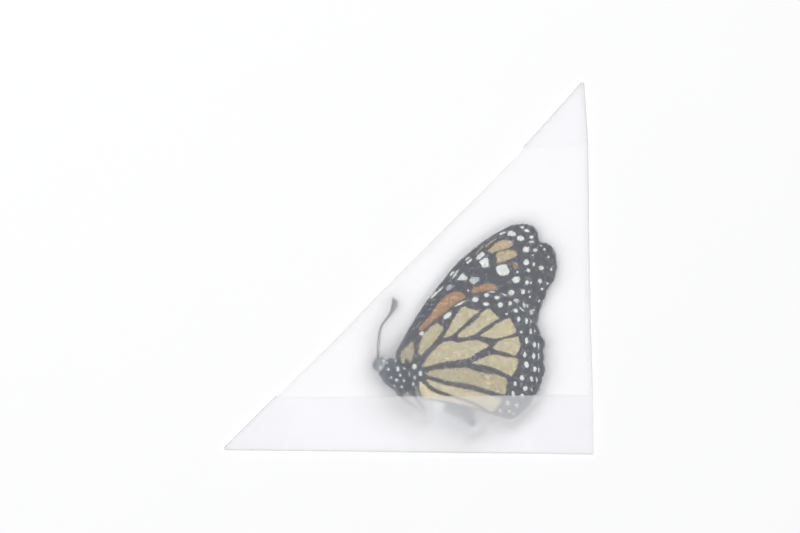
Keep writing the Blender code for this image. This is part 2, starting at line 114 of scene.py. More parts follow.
def patchDepth(poly, x, y, margin=4.0):  # how far inside a closed patch, negative outside, -9 when far off
    depth = np.full(np.shape(x), -9.0)
    low, high = poly.min(axis=0) - margin, poly.max(axis=0) + margin
    near = (x > low[0]) & (x < high[0]) & (y > low[1]) & (y < high[1])
    dist, _ = lineDistance(np.vstack((poly, poly[:1])), x[near], y[near])
    depth[near] = np.where(inside(poly, x[near], y[near]), dist, -dist)
    return depth


def spotDepth(spots, x, y):  # the same for ovals: centre, width, height, tilt and, where given, dimness
    depth, dim = np.full(np.shape(x), -9.0), np.zeros(np.shape(x))
    for cx, cy, w, h, tilt, *dimness in spots:
        c, s = math.cos(math.radians(tilt)), math.sin(math.radians(tilt))
        u, v = (x - cx) * c - (y - cy) * s, (x - cx) * s + (y - cy) * c
        own = (1 - np.hypot(u / (w / 2), v / (h / 2))) * min(w, h) / 2
        dim = np.where(own > depth, dimness[0] if dimness else 0.0, dim)
        depth = np.maximum(depth, own)
    return depth, dim


def wave(x, y, size, seed):  # smooth wandering value between about -1 and 1
    rng = np.random.default_rng(seed)
    total = np.zeros(np.shape(x))
    for _ in range(9):
        angle, phase, stretch = rng.uniform((0, 0, 0.6), (2 * math.pi, 2 * math.pi, 1.7))
        total += np.sin((x * math.cos(angle) + y * math.sin(angle)) * 2 * math.pi * stretch / size + phase)
    return total / 4.0


# Node helpers
def setSockets(tree, node, sockets):  # each socket gets a link or a value
    for key, value in sockets.items():
        if isinstance(value, bpy.types.NodeSocket):
            tree.links.new(value, node.inputs[key])
        else:
            node.inputs[key].default_value = value


def addNode(tree, kind, settings=None, sockets=None):
    made = tree.nodes.new(kind)
    for key, value in (settings or {}).items():
        setattr(made, key, value)
    setSockets(tree, made, sockets or {})
    return made


def sum2(tree, operation, a, b):  # a Math node between two values or sockets
    return addNode(tree, "ShaderNodeMath", {"operation": operation}, {0: a, 1: b}).outputs[0]


def blend2(tree, factor, a, b, how="MIX"):  # a colour Mix node
    mix = addNode(tree, "ShaderNodeMix", {"data_type": "RGBA", "blend_type": how}, {0: factor, 6: a, 7: b})
    return mix.outputs[2]


def readValue(tree, name):
    return addNode(tree, "ShaderNodeAttribute", {"attribute_name": name}).outputs["Fac"]


def greyOf(tree, value):  # a value as a colour
    return addNode(tree, "ShaderNodeCombineColor", None, {0: value, 1: value, 2: value}).outputs[0]


def vectorSum(tree, a, b):
    return addNode(tree, "ShaderNodeVectorMath", {"operation": "ADD"}, {0: a, 1: b}).outputs[0]


def vectorTimes(tree, a, factor):
    return addNode(tree, "ShaderNodeVectorMath", {"operation": "SCALE"}, {0: a, "Scale": factor}).outputs[0]


def noiseOf(tree, place, scale, detail, roughness=0.5, distortion=0.0):
    sockets = {"Vector": place, "Scale": scale, "Detail": detail, "Roughness": roughness,
               "Distortion": distortion}
    return addNode(tree, "ShaderNodeTexNoise", None, sockets).outputs["Fac"]


def rangeOf(tree, value, fromRange, toRange=(0.0, 1.0), how="LINEAR"):
    sockets = {"Value": value, "From Min": fromRange[0], "From Max": fromRange[1],
               "To Min": toRange[0], "To Max": toRange[1]}
    return addNode(tree, "ShaderNodeMapRange", {"interpolation_type": how}, sockets).outputs["Result"]


def bumpOf(tree, height, strength, distance, invert=False):
    sockets = {"Height": height, "Strength": strength, "Distance": distance}
    return addNode(tree, "ShaderNodeBump", {"invert": invert}, sockets).outputs[0]


def newGroup(name, inputs, outputs):
    group = bpy.data.node_groups.new(name, "ShaderNodeTree")
    for label, kind, default in inputs:
        socket = group.interface.new_socket(label, in_out="INPUT", socket_type="NodeSocket" + kind)
        if default is not None:
            socket.default_value = default
    for label, kind in outputs:
        group.interface.new_socket(label, in_out="OUTPUT", socket_type="NodeSocket" + kind)
    return group, group.nodes.new("NodeGroupInput"), group.nodes.new("NodeGroupOutput")


def useGroup(tree, group, sockets):
    return addNode(tree, "ShaderNodeGroup", {"node_tree": group}, sockets)


def buildSoftEdge():  # turns a depth in millimetres into a mask with a slightly ragged rim
    inputs = [("Place", "Vector", None), ("Depth", "Float", 0.0), ("Softness", "Float", 0.08),
              ("Ragged", "Float", 0.1), ("Grain", "Float", 3000.0)]
    group, start, end = newGroup("softEdge", inputs, [("Mask", "Float")])
    noise = noiseOf(group, start.outputs["Place"], start.outputs["Grain"], 2.0)
    offset = sum2(group, "SUBTRACT", noise, 0.5)
    offset = sum2(group, "MULTIPLY", offset, start.outputs["Ragged"])
    moved = sum2(group, "ADD", start.outputs["Depth"], offset)
    low = sum2(group, "MULTIPLY", start.outputs["Softness"], -1.0)
    mask = rangeOf(group, moved, (low, start.outputs["Softness"]), how="SMOOTHSTEP")
    setSockets(group, end, {"Mask": mask})
    return group


def buildScaleDust():  # rows of tiny wing scales, with stray pale ones and fine dust flecks
    inputs = [("Place", "Vector", None), ("Size", "Float", 4200.0), ("Contrast", "Float", 0.2),
              ("Stray", "Float", 0.1), ("Fleck Size", "Float", 3200.0)]
    outputs = [("Tone", "Float"), ("Stray", "Float"), ("Height", "Float")]
    group, start, end = newGroup("scaleDust", inputs, outputs)
    cells = addNode(group, "ShaderNodeTexVoronoi", None, {"Vector": start.outputs["Place"],
                    "Scale": start.outputs["Size"]})
    split = addNode(group, "ShaderNodeSeparateColor", None, {"Color": cells.outputs["Color"]})
    coarse = noiseOf(group, start.outputs["Place"], 1300.0, 4.0, 0.7)
    mixed = sum2(group, "ADD", split.outputs[0], sum2(group, "MULTIPLY", coarse, 2.0))
    centred = sum2(group, "SUBTRACT", mixed, 1.5)
    tone = sum2(group, "ADD", sum2(group, "MULTIPLY", centred, start.outputs["Contrast"]), 1.0)
    flecks = addNode(group, "ShaderNodeTexVoronoi", None, {"Vector": start.outputs["Place"],
                     "Scale": start.outputs["Fleck Size"]})
    pick = addNode(group, "ShaderNodeSeparateColor", None, {"Color": flecks.outputs["Color"]})
    limit = sum2(group, "SUBTRACT", 1.0, start.outputs["Stray"])
    chosen = sum2(group, "GREATER_THAN", pick.outputs[1], limit)
    dot = rangeOf(group, flecks.outputs["Distance"], (0.7, 0.35), how="SMOOTHSTEP")
    stray = sum2(group, "MULTIPLY", chosen, dot)
    setSockets(group, end, {"Tone": tone, "Stray": stray, "Height": cells.outputs["Distance"]})
    return group


def buildPaperCloud():  # uneven beating of the paper's fibres
    inputs = [("Place", "Vector", None), ("Size", "Float", 700.0), ("Strength", "Float", 0.1)]
    group, start, end = newGroup("paperCloud", inputs, [("Cloud", "Float"), ("Height", "Float")])
    cloud = noiseOf(group, start.outputs["Place"], start.outputs["Size"], 5.0, 0.6, 0.4)
    fibre = noiseOf(group, start.outputs["Place"], 6000.0, 2.0)
    centred = sum2(group, "SUBTRACT", cloud, 0.5)
    value = sum2(group, "ADD", sum2(group, "MULTIPLY", centred, start.outputs["Strength"]), 1.0)
    height = sum2(group, "ADD", sum2(group, "MULTIPLY", fibre, 0.3), cloud)
    setSockets(group, end, {"Cloud": value, "Height": height})
    return group


softEdge = buildSoftEdge()
scaleDust = buildScaleDust()
paperCloud = buildPaperCloud()


def newMaterial(name):
    made = bpy.data.materials.new(name)
    made.use_nodes = True
    tree = made.node_tree
    shader = tree.nodes["Principled BSDF"]
    place = addNode(tree, "ShaderNodeTexCoord").outputs["Object"]
    return made, tree, shader, place


# Mesh helpers
def makePiece(name, points, faces, material, values=None, sharpAngle=50):
    mesh = bpy.data.meshes.new(name)
    points = np.asarray(points, dtype=float) * 0.001
    mesh.from_pydata(points.tolist(), [], faces)
    work = bmesh.new()
    work.from_mesh(mesh)
    bmesh.ops.recalc_face_normals(work, faces=work.faces)
    if work.calc_volume(signed=True) < 0:
        bmesh.ops.reverse_faces(work, faces=work.faces)
    work.to_mesh(mesh)
    work.free()
    mesh.polygons.foreach_set("use_smooth", [True] * len(mesh.polygons))
    mesh.set_sharp_from_angle(angle=math.radians(sharpAngle))
    for label, numbers in (values or {}).items():
        kind, field = ("FLOAT_VECTOR", "vector") if np.ndim(numbers) == 2 else ("FLOAT", "value")
        store = mesh.attributes.new(label, kind, "POINT")
        store.data.foreach_set(field, np.asarray(numbers, float).ravel())
    mesh.materials.append(material)
    piece = bpy.data.objects.new(name, mesh)
    scene.collection.objects.link(piece)
    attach(piece, "root")
    return piece


def bakeTree(source, tree, inputs, name):  # runs a geometry tree on source and keeps its result
    modifier = source.modifiers.new("tree", "NODES")
    modifier.node_group = tree
    for item in tree.interface.items_tree:
        if item.item_type == "SOCKET" and item.in_out == "INPUT" and item.name in inputs:
            modifier[item.identifier] = inputs[item.name]
    depsgraph = bpy.context.evaluated_depsgraph_get()
    mesh = bpy.data.meshes.new_from_object(source.evaluated_get(depsgraph))
    source.modifiers.remove(modifier)
    mesh.name = name
    piece = bpy.data.objects.new(name, mesh)
    scene.collection.objects.link(piece)
    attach(piece, "root")
    return piece


# Camera, straight down as in the photograph
cameraSettings = {"height": 1.2, "sensor": 36.0}


def setCamera():
    span = picture["width"] * picture["mmPerPixel"]
    data = bpy.data.cameras.new("camera")
    data.sensor_width = cameraSettings["sensor"]
    data.lens = cameraSettings["sensor"] * cameraSettings["height"] * 1000 / span
    data.clip_start, data.clip_end = 0.01, 20
    camera = bpy.data.objects.new("camera", data)
    x, y = toMm([picture["middle"]])[0]
    camera.location = (x * 0.001, y * 0.001, cameraSettings["height"])
    scene.collection.objects.link(camera)
    scene.camera = camera


setCamera()
print("camera set")

# Wings
wingSettings = {
    "thickness": 0.08,
    "meshStep": 0.16,
    "levels": {"hindwing_right": 0.88, "forewing_right": 1.18, "forewing_left": 1.48, "hindwing_left": 1.78},
    "rise": (2.65, 1.75),  # how far the left wings lift over the thorax and the abdomen
    "riseReach": 7.5,
    "bodyLine": [(399, 364), (411, 379), (440, 398), (474, 424)],
    "foreRoot": (398, 357),
    "foreTurn": 9.0,
    "hindShrink": 0.985,
    "hindAbout": (505, 350),
    "veinHeight": 0.035,
    "veinHalf": 0.22,
    "fringe": 0.12,
    "lobeSpan": (21, 50),  # the points of the outline that the far lobe takes the place of
    "lobeFrom": 533,  # where the far forewing shows beyond the near one
    "outlineStep": 0.3,
    "ripple": (0.02, 9.0),  # height and length
}

foreLeftOutline = [
    (396, 359), (396.5, 351.5), (399.2, 346.2), (402.3, 340), (405.8, 333.8), (408.8, 328.5),
    (412.3, 323), (415.4, 317.7), (418.8, 312.3), (422, 307.7), (425, 303), (428, 298.8), (431.5, 295),
    (435.4, 290), (439.2, 284.6), (443.5, 280), (450, 271), (460, 260.2), (470, 251.8), (480, 243.8),
    (490, 236.8), (500, 231.1), (510, 225.9), (516, 224.5), (523, 223.9), (528.5, 224.6), (533, 226.6),
    (535, 229.3), (537, 231.7), (538, 234.2), (537.5, 236.5), (538.8, 239.2), (538.2, 243), (538.5, 247),
    (539, 251), (538.2, 255), (538.4, 259), (537.4, 263), (537.5, 267), (536.3, 271), (535.7, 275),
    (534.4, 279), (534, 283), (532.3, 287), (532.3, 291), (531.2, 295), (531, 299), (530, 303),
    (528, 311), (523, 319), (500, 325), (470, 332), (445, 341), (425, 350), (412, 357), (404, 361),
]
farLobe = [
    (534, 234), (538, 240.6), (541, 242.2), (545, 243), (549, 244.9), (552, 247.6), (554, 250.7),
    (555.3, 254.2), (555.2, 257.2), (556, 260.3), (556.7, 266), (556, 271), (555, 275), (553.8, 279.5),
    (552.5, 281.8), (550.5, 284.5), (549, 287.2), (547.5, 289.5), (546.5, 292.2), (545.4, 295.8),
    (543.5, 299.5), (542, 303.4), (540.8, 307.2), (539.3, 311), (538.5, 315), (538, 319), (537.5, 321.5),
    (536.2, 324.2), (534, 329),
]
hindOutline = [
    (403, 366), (399.2, 360), (399.2, 353), (403, 346), (409, 340.5), (417, 335), (421, 331.5),
    (433, 322), (440, 317), (450, 308.5), (459, 302), (466, 298.5), (470, 296), (480, 293), (489, 291.3),
    (495, 291.3), (503, 293.5), (507, 295.5), (515, 302), (520, 306.5), (524, 311), (531, 319),
    (536.2, 324.2), (538, 328), (539.8, 332.3), (541.2, 336.5), (543.4, 339.3), (544.8, 343),
    (544.3, 347.5), (542.5, 350.5), (543.2, 354), (544.2, 357.6), (543.2, 361.7), (544.2, 366.2),
    (544.8, 369.6), (543.8, 373.8), (541.8, 377.2), (541.5, 380.8), (540.3, 384.7), (539, 389.2),
    (536.6, 393), (534, 395.9), (532.2, 399.1), (529.9, 403.7), (526.2, 408.2), (521.6, 412),
    (518, 415.7), (514, 418), (510.4, 419.1), (505, 418.4), (498, 416), (490, 414), (475, 409),
    (460, 406), (445, 402.5), (434, 400.2), (427, 399.6), (422.6, 398.6), (419.6, 395.6), (418.2, 390.6),
    (417.6, 384.6), (416, 376),
]

# Pale cells between the veins: tone from 0, straw, to 1, orange, then brightness, then the outline
hindCells = [
    (0.0, 0.70, [(413, 342.3), (413.8, 345.4), (414, 353), (412.3, 358.5), (409.6, 361.5), (405.6, 358.0),
                 (404.6, 363.5), (401.5, 360.8), (400.8, 355.4), (403, 350), (407.7, 345.4),
                 (410.8, 342.7)]),
    (0.0, 0.91, [(436, 323.5), (440.8, 325.4), (443, 327.7), (441.5, 331.5), (437.7, 337), (433, 343),
                 (427.7, 348.5), (423, 353), (420.8, 355.4), (418.8, 353.8), (418.5, 349.2), (420, 343),
                 (423, 336), (427, 330.8), (431.5, 326.2)]),
    (0.0, 0.98, [(464.6, 306.5), (470, 308.8), (478.5, 310.4), (479.2, 311.5), (474.6, 314.6),
                 (469.2, 319.2), (463.8, 324.6), (459.2, 328.5), (455.4, 332.3), (450.8, 335.4),
                 (446.2, 337.3), (444.2, 336.5), (445.8, 333), (449.2, 327.7), (450.8, 323), (453.8, 318.5),
                 (457.7, 313), (460.8, 308.5)]),
    (0.0, 1.00, [(489.2, 308.5), (493, 312.3), (497.7, 317), (498.5, 318.5), (493.8, 321.5), (488.5, 324.6),
                 (482.3, 328.5), (477, 333), (471.5, 335.4), (466.2, 337), (460.8, 337.3), (457.7, 336.2),
                 (458.5, 333.8), (463.8, 329.2), (469.2, 325.4), (474.6, 320.8), (479.2, 316.2),
                 (483, 311.5), (487, 309.2)]),
    (0.0, 1.02, [(508.3, 318.2), (510, 318.8), (512, 322), (513.8, 325.8), (515.4, 329.2), (514.6, 333.3),
                 (508.3, 335.4), (502.5, 337), (496.7, 338.3), (490.8, 338), (485.8, 337), (480.4, 335.4),
                 (485.8, 331.7), (491.7, 327.5), (497.5, 323.3), (503.3, 320)]),
    (0.0, 1.00, [(516.7, 336.7), (518.8, 338.8), (519.6, 342.5), (520, 346.7), (518.8, 350), (516.7, 353.3),
                 (514.2, 355.4), (508.3, 353.3), (501.7, 351.3), (495, 349.6), (493.3, 348.3), (495, 345),
                 (498.3, 341.7), (503.3, 339.6), (510, 337.9)]),
    (0.0, 0.96, [(490, 355), (495, 354.6), (501.7, 355.8), (508.3, 357), (515, 357.5), (517.5, 359.2),
                 (517.9, 362.5), (516.7, 366.7), (515, 370.8), (512.5, 374.2), (510.8, 375.8),
                 (507.5, 374.2), (501.7, 371.3), (495, 368), (489.2, 366.3), (482.5, 364.6), (475, 363.8),
                 (471.7, 362.9), (475.8, 360.8), (481.7, 358.3), (485.8, 356.3)]),
    (0.0, 0.97, [(422.3, 365.4), (427, 357.7), (433, 350.8), (440, 344.6), (445.4, 341.5), (451.5, 340.8),
                 (455.4, 342), (458.5, 343), (463.8, 341.5), (470, 340.4), (477.7, 340.4), (482.3, 342),
                 (487.7, 344.6), (488.5, 345.8), (484.6, 348.5), (478.5, 351.5), (471.5, 356.2),
                 (467, 358.5), (459.2, 359.6), (451.5, 360.8), (443.8, 362), (436.2, 363.5), (428.5, 365.8),
                 (423, 366.5)]),
    (0.0, 0.83, [(425.8, 373), (428.8, 371.2), (434.2, 370), (442, 369), (449.6, 368.3), (459.6, 367.5),
                 (467.3, 367.8), (472.7, 369.6), (478, 371.5), (484.2, 372.7), (488, 374.3), (495, 374),
                 (500, 375.8), (504, 377.3), (506.3, 379.2), (506.3, 383), (506, 388.3), (504.6, 393.8),
                 (500, 393.3), (490, 390.4), (484.2, 388.5), (476.5, 386.2), (469.6, 383.8), (461.2, 382.3),
                 (449.6, 381.2), (442, 379.2), (434.2, 377), (426.5, 374.6)]),
    (0.0, 1.09, [(426.5, 379.2), (432.7, 380.8), (442, 383.8), (452, 386.2), (461.2, 388), (469.6, 389.6),
                 (476.5, 391.5), (484.2, 393.5), (495, 397), (501, 399), (497, 407), (492, 411), (488, 410),
                 (480, 405), (470, 400.5), (458.8, 396.5), (453.5, 395.4), (445.8, 392.3), (438, 389.2),
                 (432.7, 386.2), (428.8, 383)]),
    (0.0, 1.24, [(419.4, 381), (419.2, 385), (419.7, 389), (420.6, 393), (422.8, 396.6), (427.4, 398.2),
                 (438, 399.6), (452, 402.2), (464, 404.6), (474, 407.4), (479, 408.6), (472, 404.6),
                 (462, 400.4), (452, 397.6), (442, 394.8), (434.2, 391.8), (428.8, 388.8), (424.2, 384.2)]),
]
hindSpots = [
    (475.2, 299.6, 6.5, 4.6, 0), (486.5, 295, 5.5, 3.8, 0), (496.5, 297.4, 5.4, 3.5, 0),
    (485.8, 304, 6, 3.3, 0), (500.2, 304.8, 4.6, 5.2, 0), (510, 303.4, 3.8, 4.6, 0),
    (515.5, 310.5, 5, 3.4, -35), (506.4, 314, 2.8, 1.8, 0), (518.5, 319, 2.7, 5.5, 0),
    (526.4, 321, 2.5, 6, 0), (530.6, 321, 1.1, 4, 0), (521.1, 331.8, 2, 3.2, 0),
    (530.5, 331.2, 2.5, 5.5, 0), (534.5, 330.5, 1.0, 3.4, 0), (526.4, 340.5, 3, 6.4, 0),
    (534.4, 344.4, 2.8, 6, 0), (538.2, 344.8, 1.3, 6.5, 0), (524.5, 354.6, 3, 5, 0),
    (533.5, 356, 3.2, 5.4, 0), (538.4, 356.5, 1.3, 5.4, 0), (526.4, 364.4, 4, 6.4, 20),
    (534.5, 368.8, 3, 5.6, 0), (538.5, 369.7, 1.4, 5, 0), (521.8, 377.6, 4, 5.6, 15),
    (531.3, 378.8, 3, 5, 10), (536.5, 379.5, 1.3, 5, 10), (515, 383.5, 3.2, 4.8, 15),
    (525.1, 388.3, 4.5, 4.8, 0), (531.5, 389.5, 1.2, 4, 20), (513, 394, 3.2, 6, 10),
    (522, 395.2, 3.5, 4, 0), (507.5, 402.7, 3.4, 5, 10), (516.5, 405, 3.2, 4.2, 20),
    (499.8, 410.2, 3.2, 3.4, 0), (509, 411, 3.2, 3.2, 0), (513.5, 413.5, 2.2, 2.4, 0),
    (447.3, 315.5, 9.4, 4.6, 38), (421.5, 333, 5, 4.4, 30), (459.5, 303.8, 12, 1.8, 27),
    (492, 291.9, 6.4, 1.3, 0), (504.2, 294.4, 6.4, 1.4, -24), (521.7, 309.2, 6, 1.5, -43),
    (414.5, 366.3, 4.4, 5.4, 0), (420.4, 373, 3.4, 5.4, 0),
]
hindVeins = [
    [(417, 358), (416.5, 350), (416.5, 343), (421, 334), (431, 324), (436, 320), (447, 312), (466, 301)],
    [(420.8, 357.7), (427, 351.5), (433, 346), (442.3, 337), (447, 338.5), (457.7, 339.2), (467, 338.5),
     (477, 336.2), (484, 338.5), (490.8, 340)],
    [(442.3, 337), (444.6, 327.7), (450.8, 317), (459.2, 307), (466, 300)],
    [(455.4, 335.4), (465.4, 324.6), (476.2, 316.2), (484.6, 308.5), (494, 296)],
    [(480, 333), (490, 325.4), (500, 319.2), (510, 311), (519, 306)],
    [(490.8, 340), (501.7, 338.3), (513.3, 335.4), (525, 329), (537, 325)],
    [(490.8, 340), (490.8, 351.3), (503.3, 353.8), (516.7, 356.7), (530, 350), (542, 350.5)],
    [(423, 367.7), (433, 366.2), (453.8, 363), (469.2, 360.8), (480.8, 353), (490.8, 350)],
    [(469, 361), (477, 366.2), (490, 369.6), (503.8, 375.4), (512, 380), (526, 372), (543, 362)],
    [(423, 373.5), (438.8, 380), (457.3, 385), (476.5, 389.2), (495, 394), (507, 398), (524, 383),
     (541, 378)],
    [(421, 376), (429.6, 386.2), (440.4, 391.5), (459.6, 397.3), (480, 406.5), (493, 413.5)],
]
foreCells = [
    (0.92, 1.00, [(418.5, 329.2), (423, 323.8), (430, 315.4), (434.6, 308.5), (439.2, 302.3),
                  (445.4, 296.5), (450.8, 293), (456.2, 291.5), (461.5, 292.3), (465, 296.2),
                  (463.8, 298.5), (459.2, 301.2), (453.8, 304.6), (450, 307.7), (445.4, 312.3),
                  (439.2, 316.2), (433, 321.5), (426.2, 327.7), (423, 330)]),
    (0.92, 1.00, [(471.5, 292.7), (472.3, 289.2), (479.2, 285.8), (485.4, 283.8), (491.5, 283.5),
                  (496.2, 285.8), (497.5, 288.8), (492.3, 290.8), (484.6, 291.2), (477, 292.7),
                  (473, 293.8)]),
    (0.32, 1.00, [(488, 251), (490, 248.4), (493.8, 245), (498.5, 241.8), (503, 240.2), (507.7, 240.3),
                  (511.5, 241.5), (513, 243.8), (511.5, 246), (507.7, 248), (501.5, 250), (495.4, 251.5),
                  (490, 253)]),
    (0.32, 1.00, [(496, 255), (499.2, 251.8), (505.4, 250.5), (512.3, 250), (515.8, 251.5), (517, 253.8),
                  (515.8, 256.5), (510.8, 258.8), (505.4, 260.7), (500, 262.6), (497.3, 262.2),
                  (497, 259.5)]),
    (0.75, 0.80, [(513.2, 262.8), (515.6, 261.9), (517.4, 263.6), (517.3, 267.2), (515.8, 269.8),
                  (513.6, 269.4), (512.9, 266.2)]),
    (0.1, 1.1, [(475.6, 253.8), (478.6, 250.0), (482.4, 246.4), (484.6, 244.8), (484.8, 245.4),
                (482.8, 247.2), (479.2, 250.7), (476.2, 254.2)]),
    (0.1, 1.1, [(485.4, 246.2), (488.6, 243.0), (492.4, 240.4), (496.6, 238.2), (496.8, 238.9),
                (492.8, 241.2), (489.2, 243.8), (485.9, 246.8)]),
    (0.9, 0.95, [(424, 338), (432, 330), (446, 319), (460, 309), (478, 300), (492, 297), (496, 301),
                 (486, 309), (466, 318), (448, 328), (432, 340)]),
]
forePatches = [  # dimness, then the outline
    (0.15, [(456.8, 280.0), (462.3, 273), (467.6, 277.6), (466.0, 280.0)]),
    (0.55, [(468.8, 280.3), (471.2, 277.6), (476.2, 277), (479.2, 277.6), (478.8, 281), (473.8, 284.2),
            (470.8, 283)]),
    (0.0, [(464.4, 260.2), (468.8, 256.5), (470.0, 257.0), (465.6, 261.0)]),
    (0.0, [(465.5, 262.7), (470.6, 258.8), (472.2, 259.2), (471.2, 261.2), (467.4, 263.8)]),
    (0.0, [(475.6, 258.6), (477, 256.3), (482, 251.6), (484.6, 253.2), (484.2, 255.2), (480.2, 258.9),
           (477.2, 259.8)]),
    (0.0, [(478.8, 262.0), (480.4, 260.8), (484.6, 258.1), (487.4, 257.7), (488.4, 261.8), (488.9, 266),
           (487, 267.4), (482.3, 267.4), (480.8, 264.2)]),
    (0.0, [(496, 268), (497.3, 266), (500.8, 264.7), (506.5, 264.4), (508, 268.4), (509.6, 271.8),
           (507.7, 274.5), (503, 275.8), (499.2, 275), (497, 272.6)]),
    (0.0, [(512, 279.2), (513.8, 277), (519.2, 276.6), (520, 278.8), (518.8, 281.8), (515.4, 283.4),
           (513, 281.8)]),
    (0.0, [(508, 293), (508.8, 290.7), (512, 289.5), (514.2, 291.8), (513.5, 294.5), (509.6, 295.7)]),
    (0.0, [(522.2, 249.5), (523.8, 247.2), (529.2, 247), (528.5, 251.8), (524.2, 252.2)]),
    (0.0, [(507, 233.8), (508.5, 231.5), (511.5, 230.5), (514.2, 232.2), (516.2, 234.5), (515, 235.8),
           (508, 235.8)]),
    (0.0, [(498.8, 234.2), (500.8, 232.8), (504.6, 231.8), (506.2, 232.2), (503.8, 233.8), (499.6, 235.3)]),
]
foreSpots = [
    (522.8, 291.7, 4, 5, 0), (526, 262.4, 5.8, 5.8, 0), (520.4, 238.4, 7, 5, 0),
    (522.3, 227.5, 4, 2.2, 0), (526.5, 230.8, 5.4, 2.6, -10), (531.3, 237.2, 4, 3.4, 0),
    (531.2, 242, 4.6, 2, 0), (535.2, 250.2, 4.2, 3.4, 0), (532.5, 255.5, 2.5, 1.2, 0),
    (533.6, 264.2, 2.5, 4, 0), (528.2, 270.3, 3.8, 3.8, 0), (517.3, 272, 2.5, 2.5, 0),
    (526.7, 282.5, 3.6, 4.4, 0), (530.8, 282.8, 1.6, 2.6, 0), (528.7, 291.8, 1.3, 3, 0),
    (529.8, 297, 2, 2.4, 0), (524, 305.3, 2.6, 5, 15), (527.3, 305.8, 1.4, 4, 0),
    (515.8, 301, 5.4, 4.6, 0), (468, 290.5, 2.2, 1.8, 0), (433.7, 295.2, 9.5, 1.9, 48, 0.1),
    (439.2, 290.4, 10, 1.8, 42, 0.2), (452.1, 273.3, 5.6, 2.3, 50), (455.2, 274.4, 11.5, 1.9, 55, 0.2),
    (449.0, 287.6, 7.0, 4.6, 48, 0.85),
]
foreVeins = [
    [(398, 355), (420, 322), (446, 290), (475, 262), (498, 246), (516, 238), (537, 232)],
    [(399, 356), (425, 330), (452, 308), (468, 288), (480, 272), (484, 256), (494, 242), (508, 228)],
    [(468, 288), (486, 280), (495, 263), (508, 250), (522, 243), (538, 240)],
    [(468, 292), (490, 282), (510, 268), (526, 258), (538, 255)],
    [(470, 294), (498, 290), (520, 276), (537, 271)],
    [(460, 301), (494, 299), (520, 292), (533, 287)],
    [(440, 322), (480, 308), (510, 306), (530, 303)],
]
farSpots = [
    (541, 245.5, 2.2, 1.6, 0), (544.3, 249.5, 2.6, 2.2, 0), (548.3, 257, 2.6, 2.4, 0),
    (551, 269.5, 2.4, 2.6, 0), (547.5, 283.5, 2.2, 2.4, 0), (542, 289, 2.4, 2.4, 0),
    (539, 300.5, 2.2, 2.4, 0), (533.5, 310, 2, 2.2, 0), (541, 268, 5, 4.5, 0), (540, 281, 4, 4.5, 0),
]

markStyle = {
    "straw": (0.505, 0.445, 0.27, 1), "orange": (0.35, 0.155, 0.045, 1), "white": (0.69, 0.72, 0.68, 1),
    "black": (0.006, 0.011, 0.026, 1), "brown": (0.016, 0.016, 0.026, 1), "strayScale": (0.44, 0.47, 0.50, 1),
    # the far wings' dusty colour is darker, painted shade for their lying deeper under the paper
    "dusty": (0.044, 0.056, 0.083, 1), "farDustAndShade": (0.022, 0.031, 0.052, 1),
    "dimSpot": (0.27, 0.31, 0.36, 1), "rubbed": (0.22, 0.17, 0.11, 1), "paleScale": (0.80, 0.78, 0.68, 1),
    "cellSoftness": 0.07, "cellRagged": 0.95, "spotSoftness": 0.05, "spotRagged": 0.40,
    "scaleContrast": 0.50, "strayShare": 0.20, "roughness": 0.76, "bump": 0.25,
}


# dusty is the worn scales' colour; the far wings get it darker, as painted shade
def buildWingMaterial(name, dusty):
    made, tree, shader, place = newMaterial(name)
    style = markStyle
    cell = useGroup(tree, softEdge, {"Place": place, "Depth": readValue(tree, "cellDepth"),
                    "Softness": style["cellSoftness"], "Ragged": style["cellRagged"], "Grain": 3300.0})
    spot = useGroup(tree, softEdge, {"Place": place, "Depth": readValue(tree, "spotDepth"),
                    "Softness": style["spotSoftness"], "Ragged": style["spotRagged"], "Grain": 3400.0})
    dust = useGroup(tree, scaleDust, {"Place": place, "Contrast": style["scaleContrast"],
                    "Stray": style["strayShare"]})
    pale = blend2(tree, readValue(tree, "tone"), style["straw"], style["orange"])
    pale = blend2(tree, 1.0, pale, greyOf(tree, readValue(tree, "shade")), "MULTIPLY")
    rub = noiseOf(tree, place, 420.0, 5.0, 0.65)
    pale = blend2(tree, rangeOf(tree, rub, (0.35, 0.75), (0.0, 0.22)), pale, style["rubbed"])
    dark = blend2(tree, rub, style["black"], style["brown"])
    wearAndFoldShade = rangeOf(tree, noiseOf(tree, place, 3200.0, 1.0), (0.45, 0.68), how="SMOOTHSTEP")
    dark = blend2(tree, wearAndFoldShade, dark, dusty)
    strays = sum2(tree, "MULTIPLY", dust.outputs["Stray"], 0.5)
    dark = blend2(tree, strays, dark, style["strayScale"])
    speck = sum2(tree, "MULTIPLY", dust.outputs["Stray"], 0.45)
    pale = blend2(tree, speck, pale, style["paleScale"])
    colour = blend2(tree, cell.outputs["Mask"], dark, pale)
    light = blend2(tree, readValue(tree, "dim"), style["white"], style["dimSpot"])
    colour = blend2(tree, spot.outputs["Mask"], colour, light)
    colour = blend2(tree, 1.0, colour, greyOf(tree, dust.outputs["Tone"]), "MULTIPLY")
    bump = bumpOf(tree, dust.outputs["Height"], style["bump"], 0.00003)
    rough = rangeOf(tree, rub, (0.0, 1.0), (style["roughness"] - 0.1, style["roughness"] + 0.1))
    setSockets(tree, shader, {"Base Color": colour, "Roughness": rough, "Normal": bump,
                              "Specular IOR Level": 0.25, "Sheen Weight": 0.03})
    return made


def leftRise(x, y):
    dist, along = lineDistance(toMm(wingSettings["bodyLine"]), x, y)
    thorax, abdomen = wingSettings["rise"]
    height = thorax + (abdomen - thorax) * np.clip(along * 1.6, 0, 1)
    return height * np.exp(-(dist / wingSettings["riseReach"]) ** 2)


def wingHeight(name, x, y):  # underside of a wing
    level = np.full(np.shape(x), wingSettings["levels"][name])
    return level + leftRise(x, y) if name.endswith("left") else level


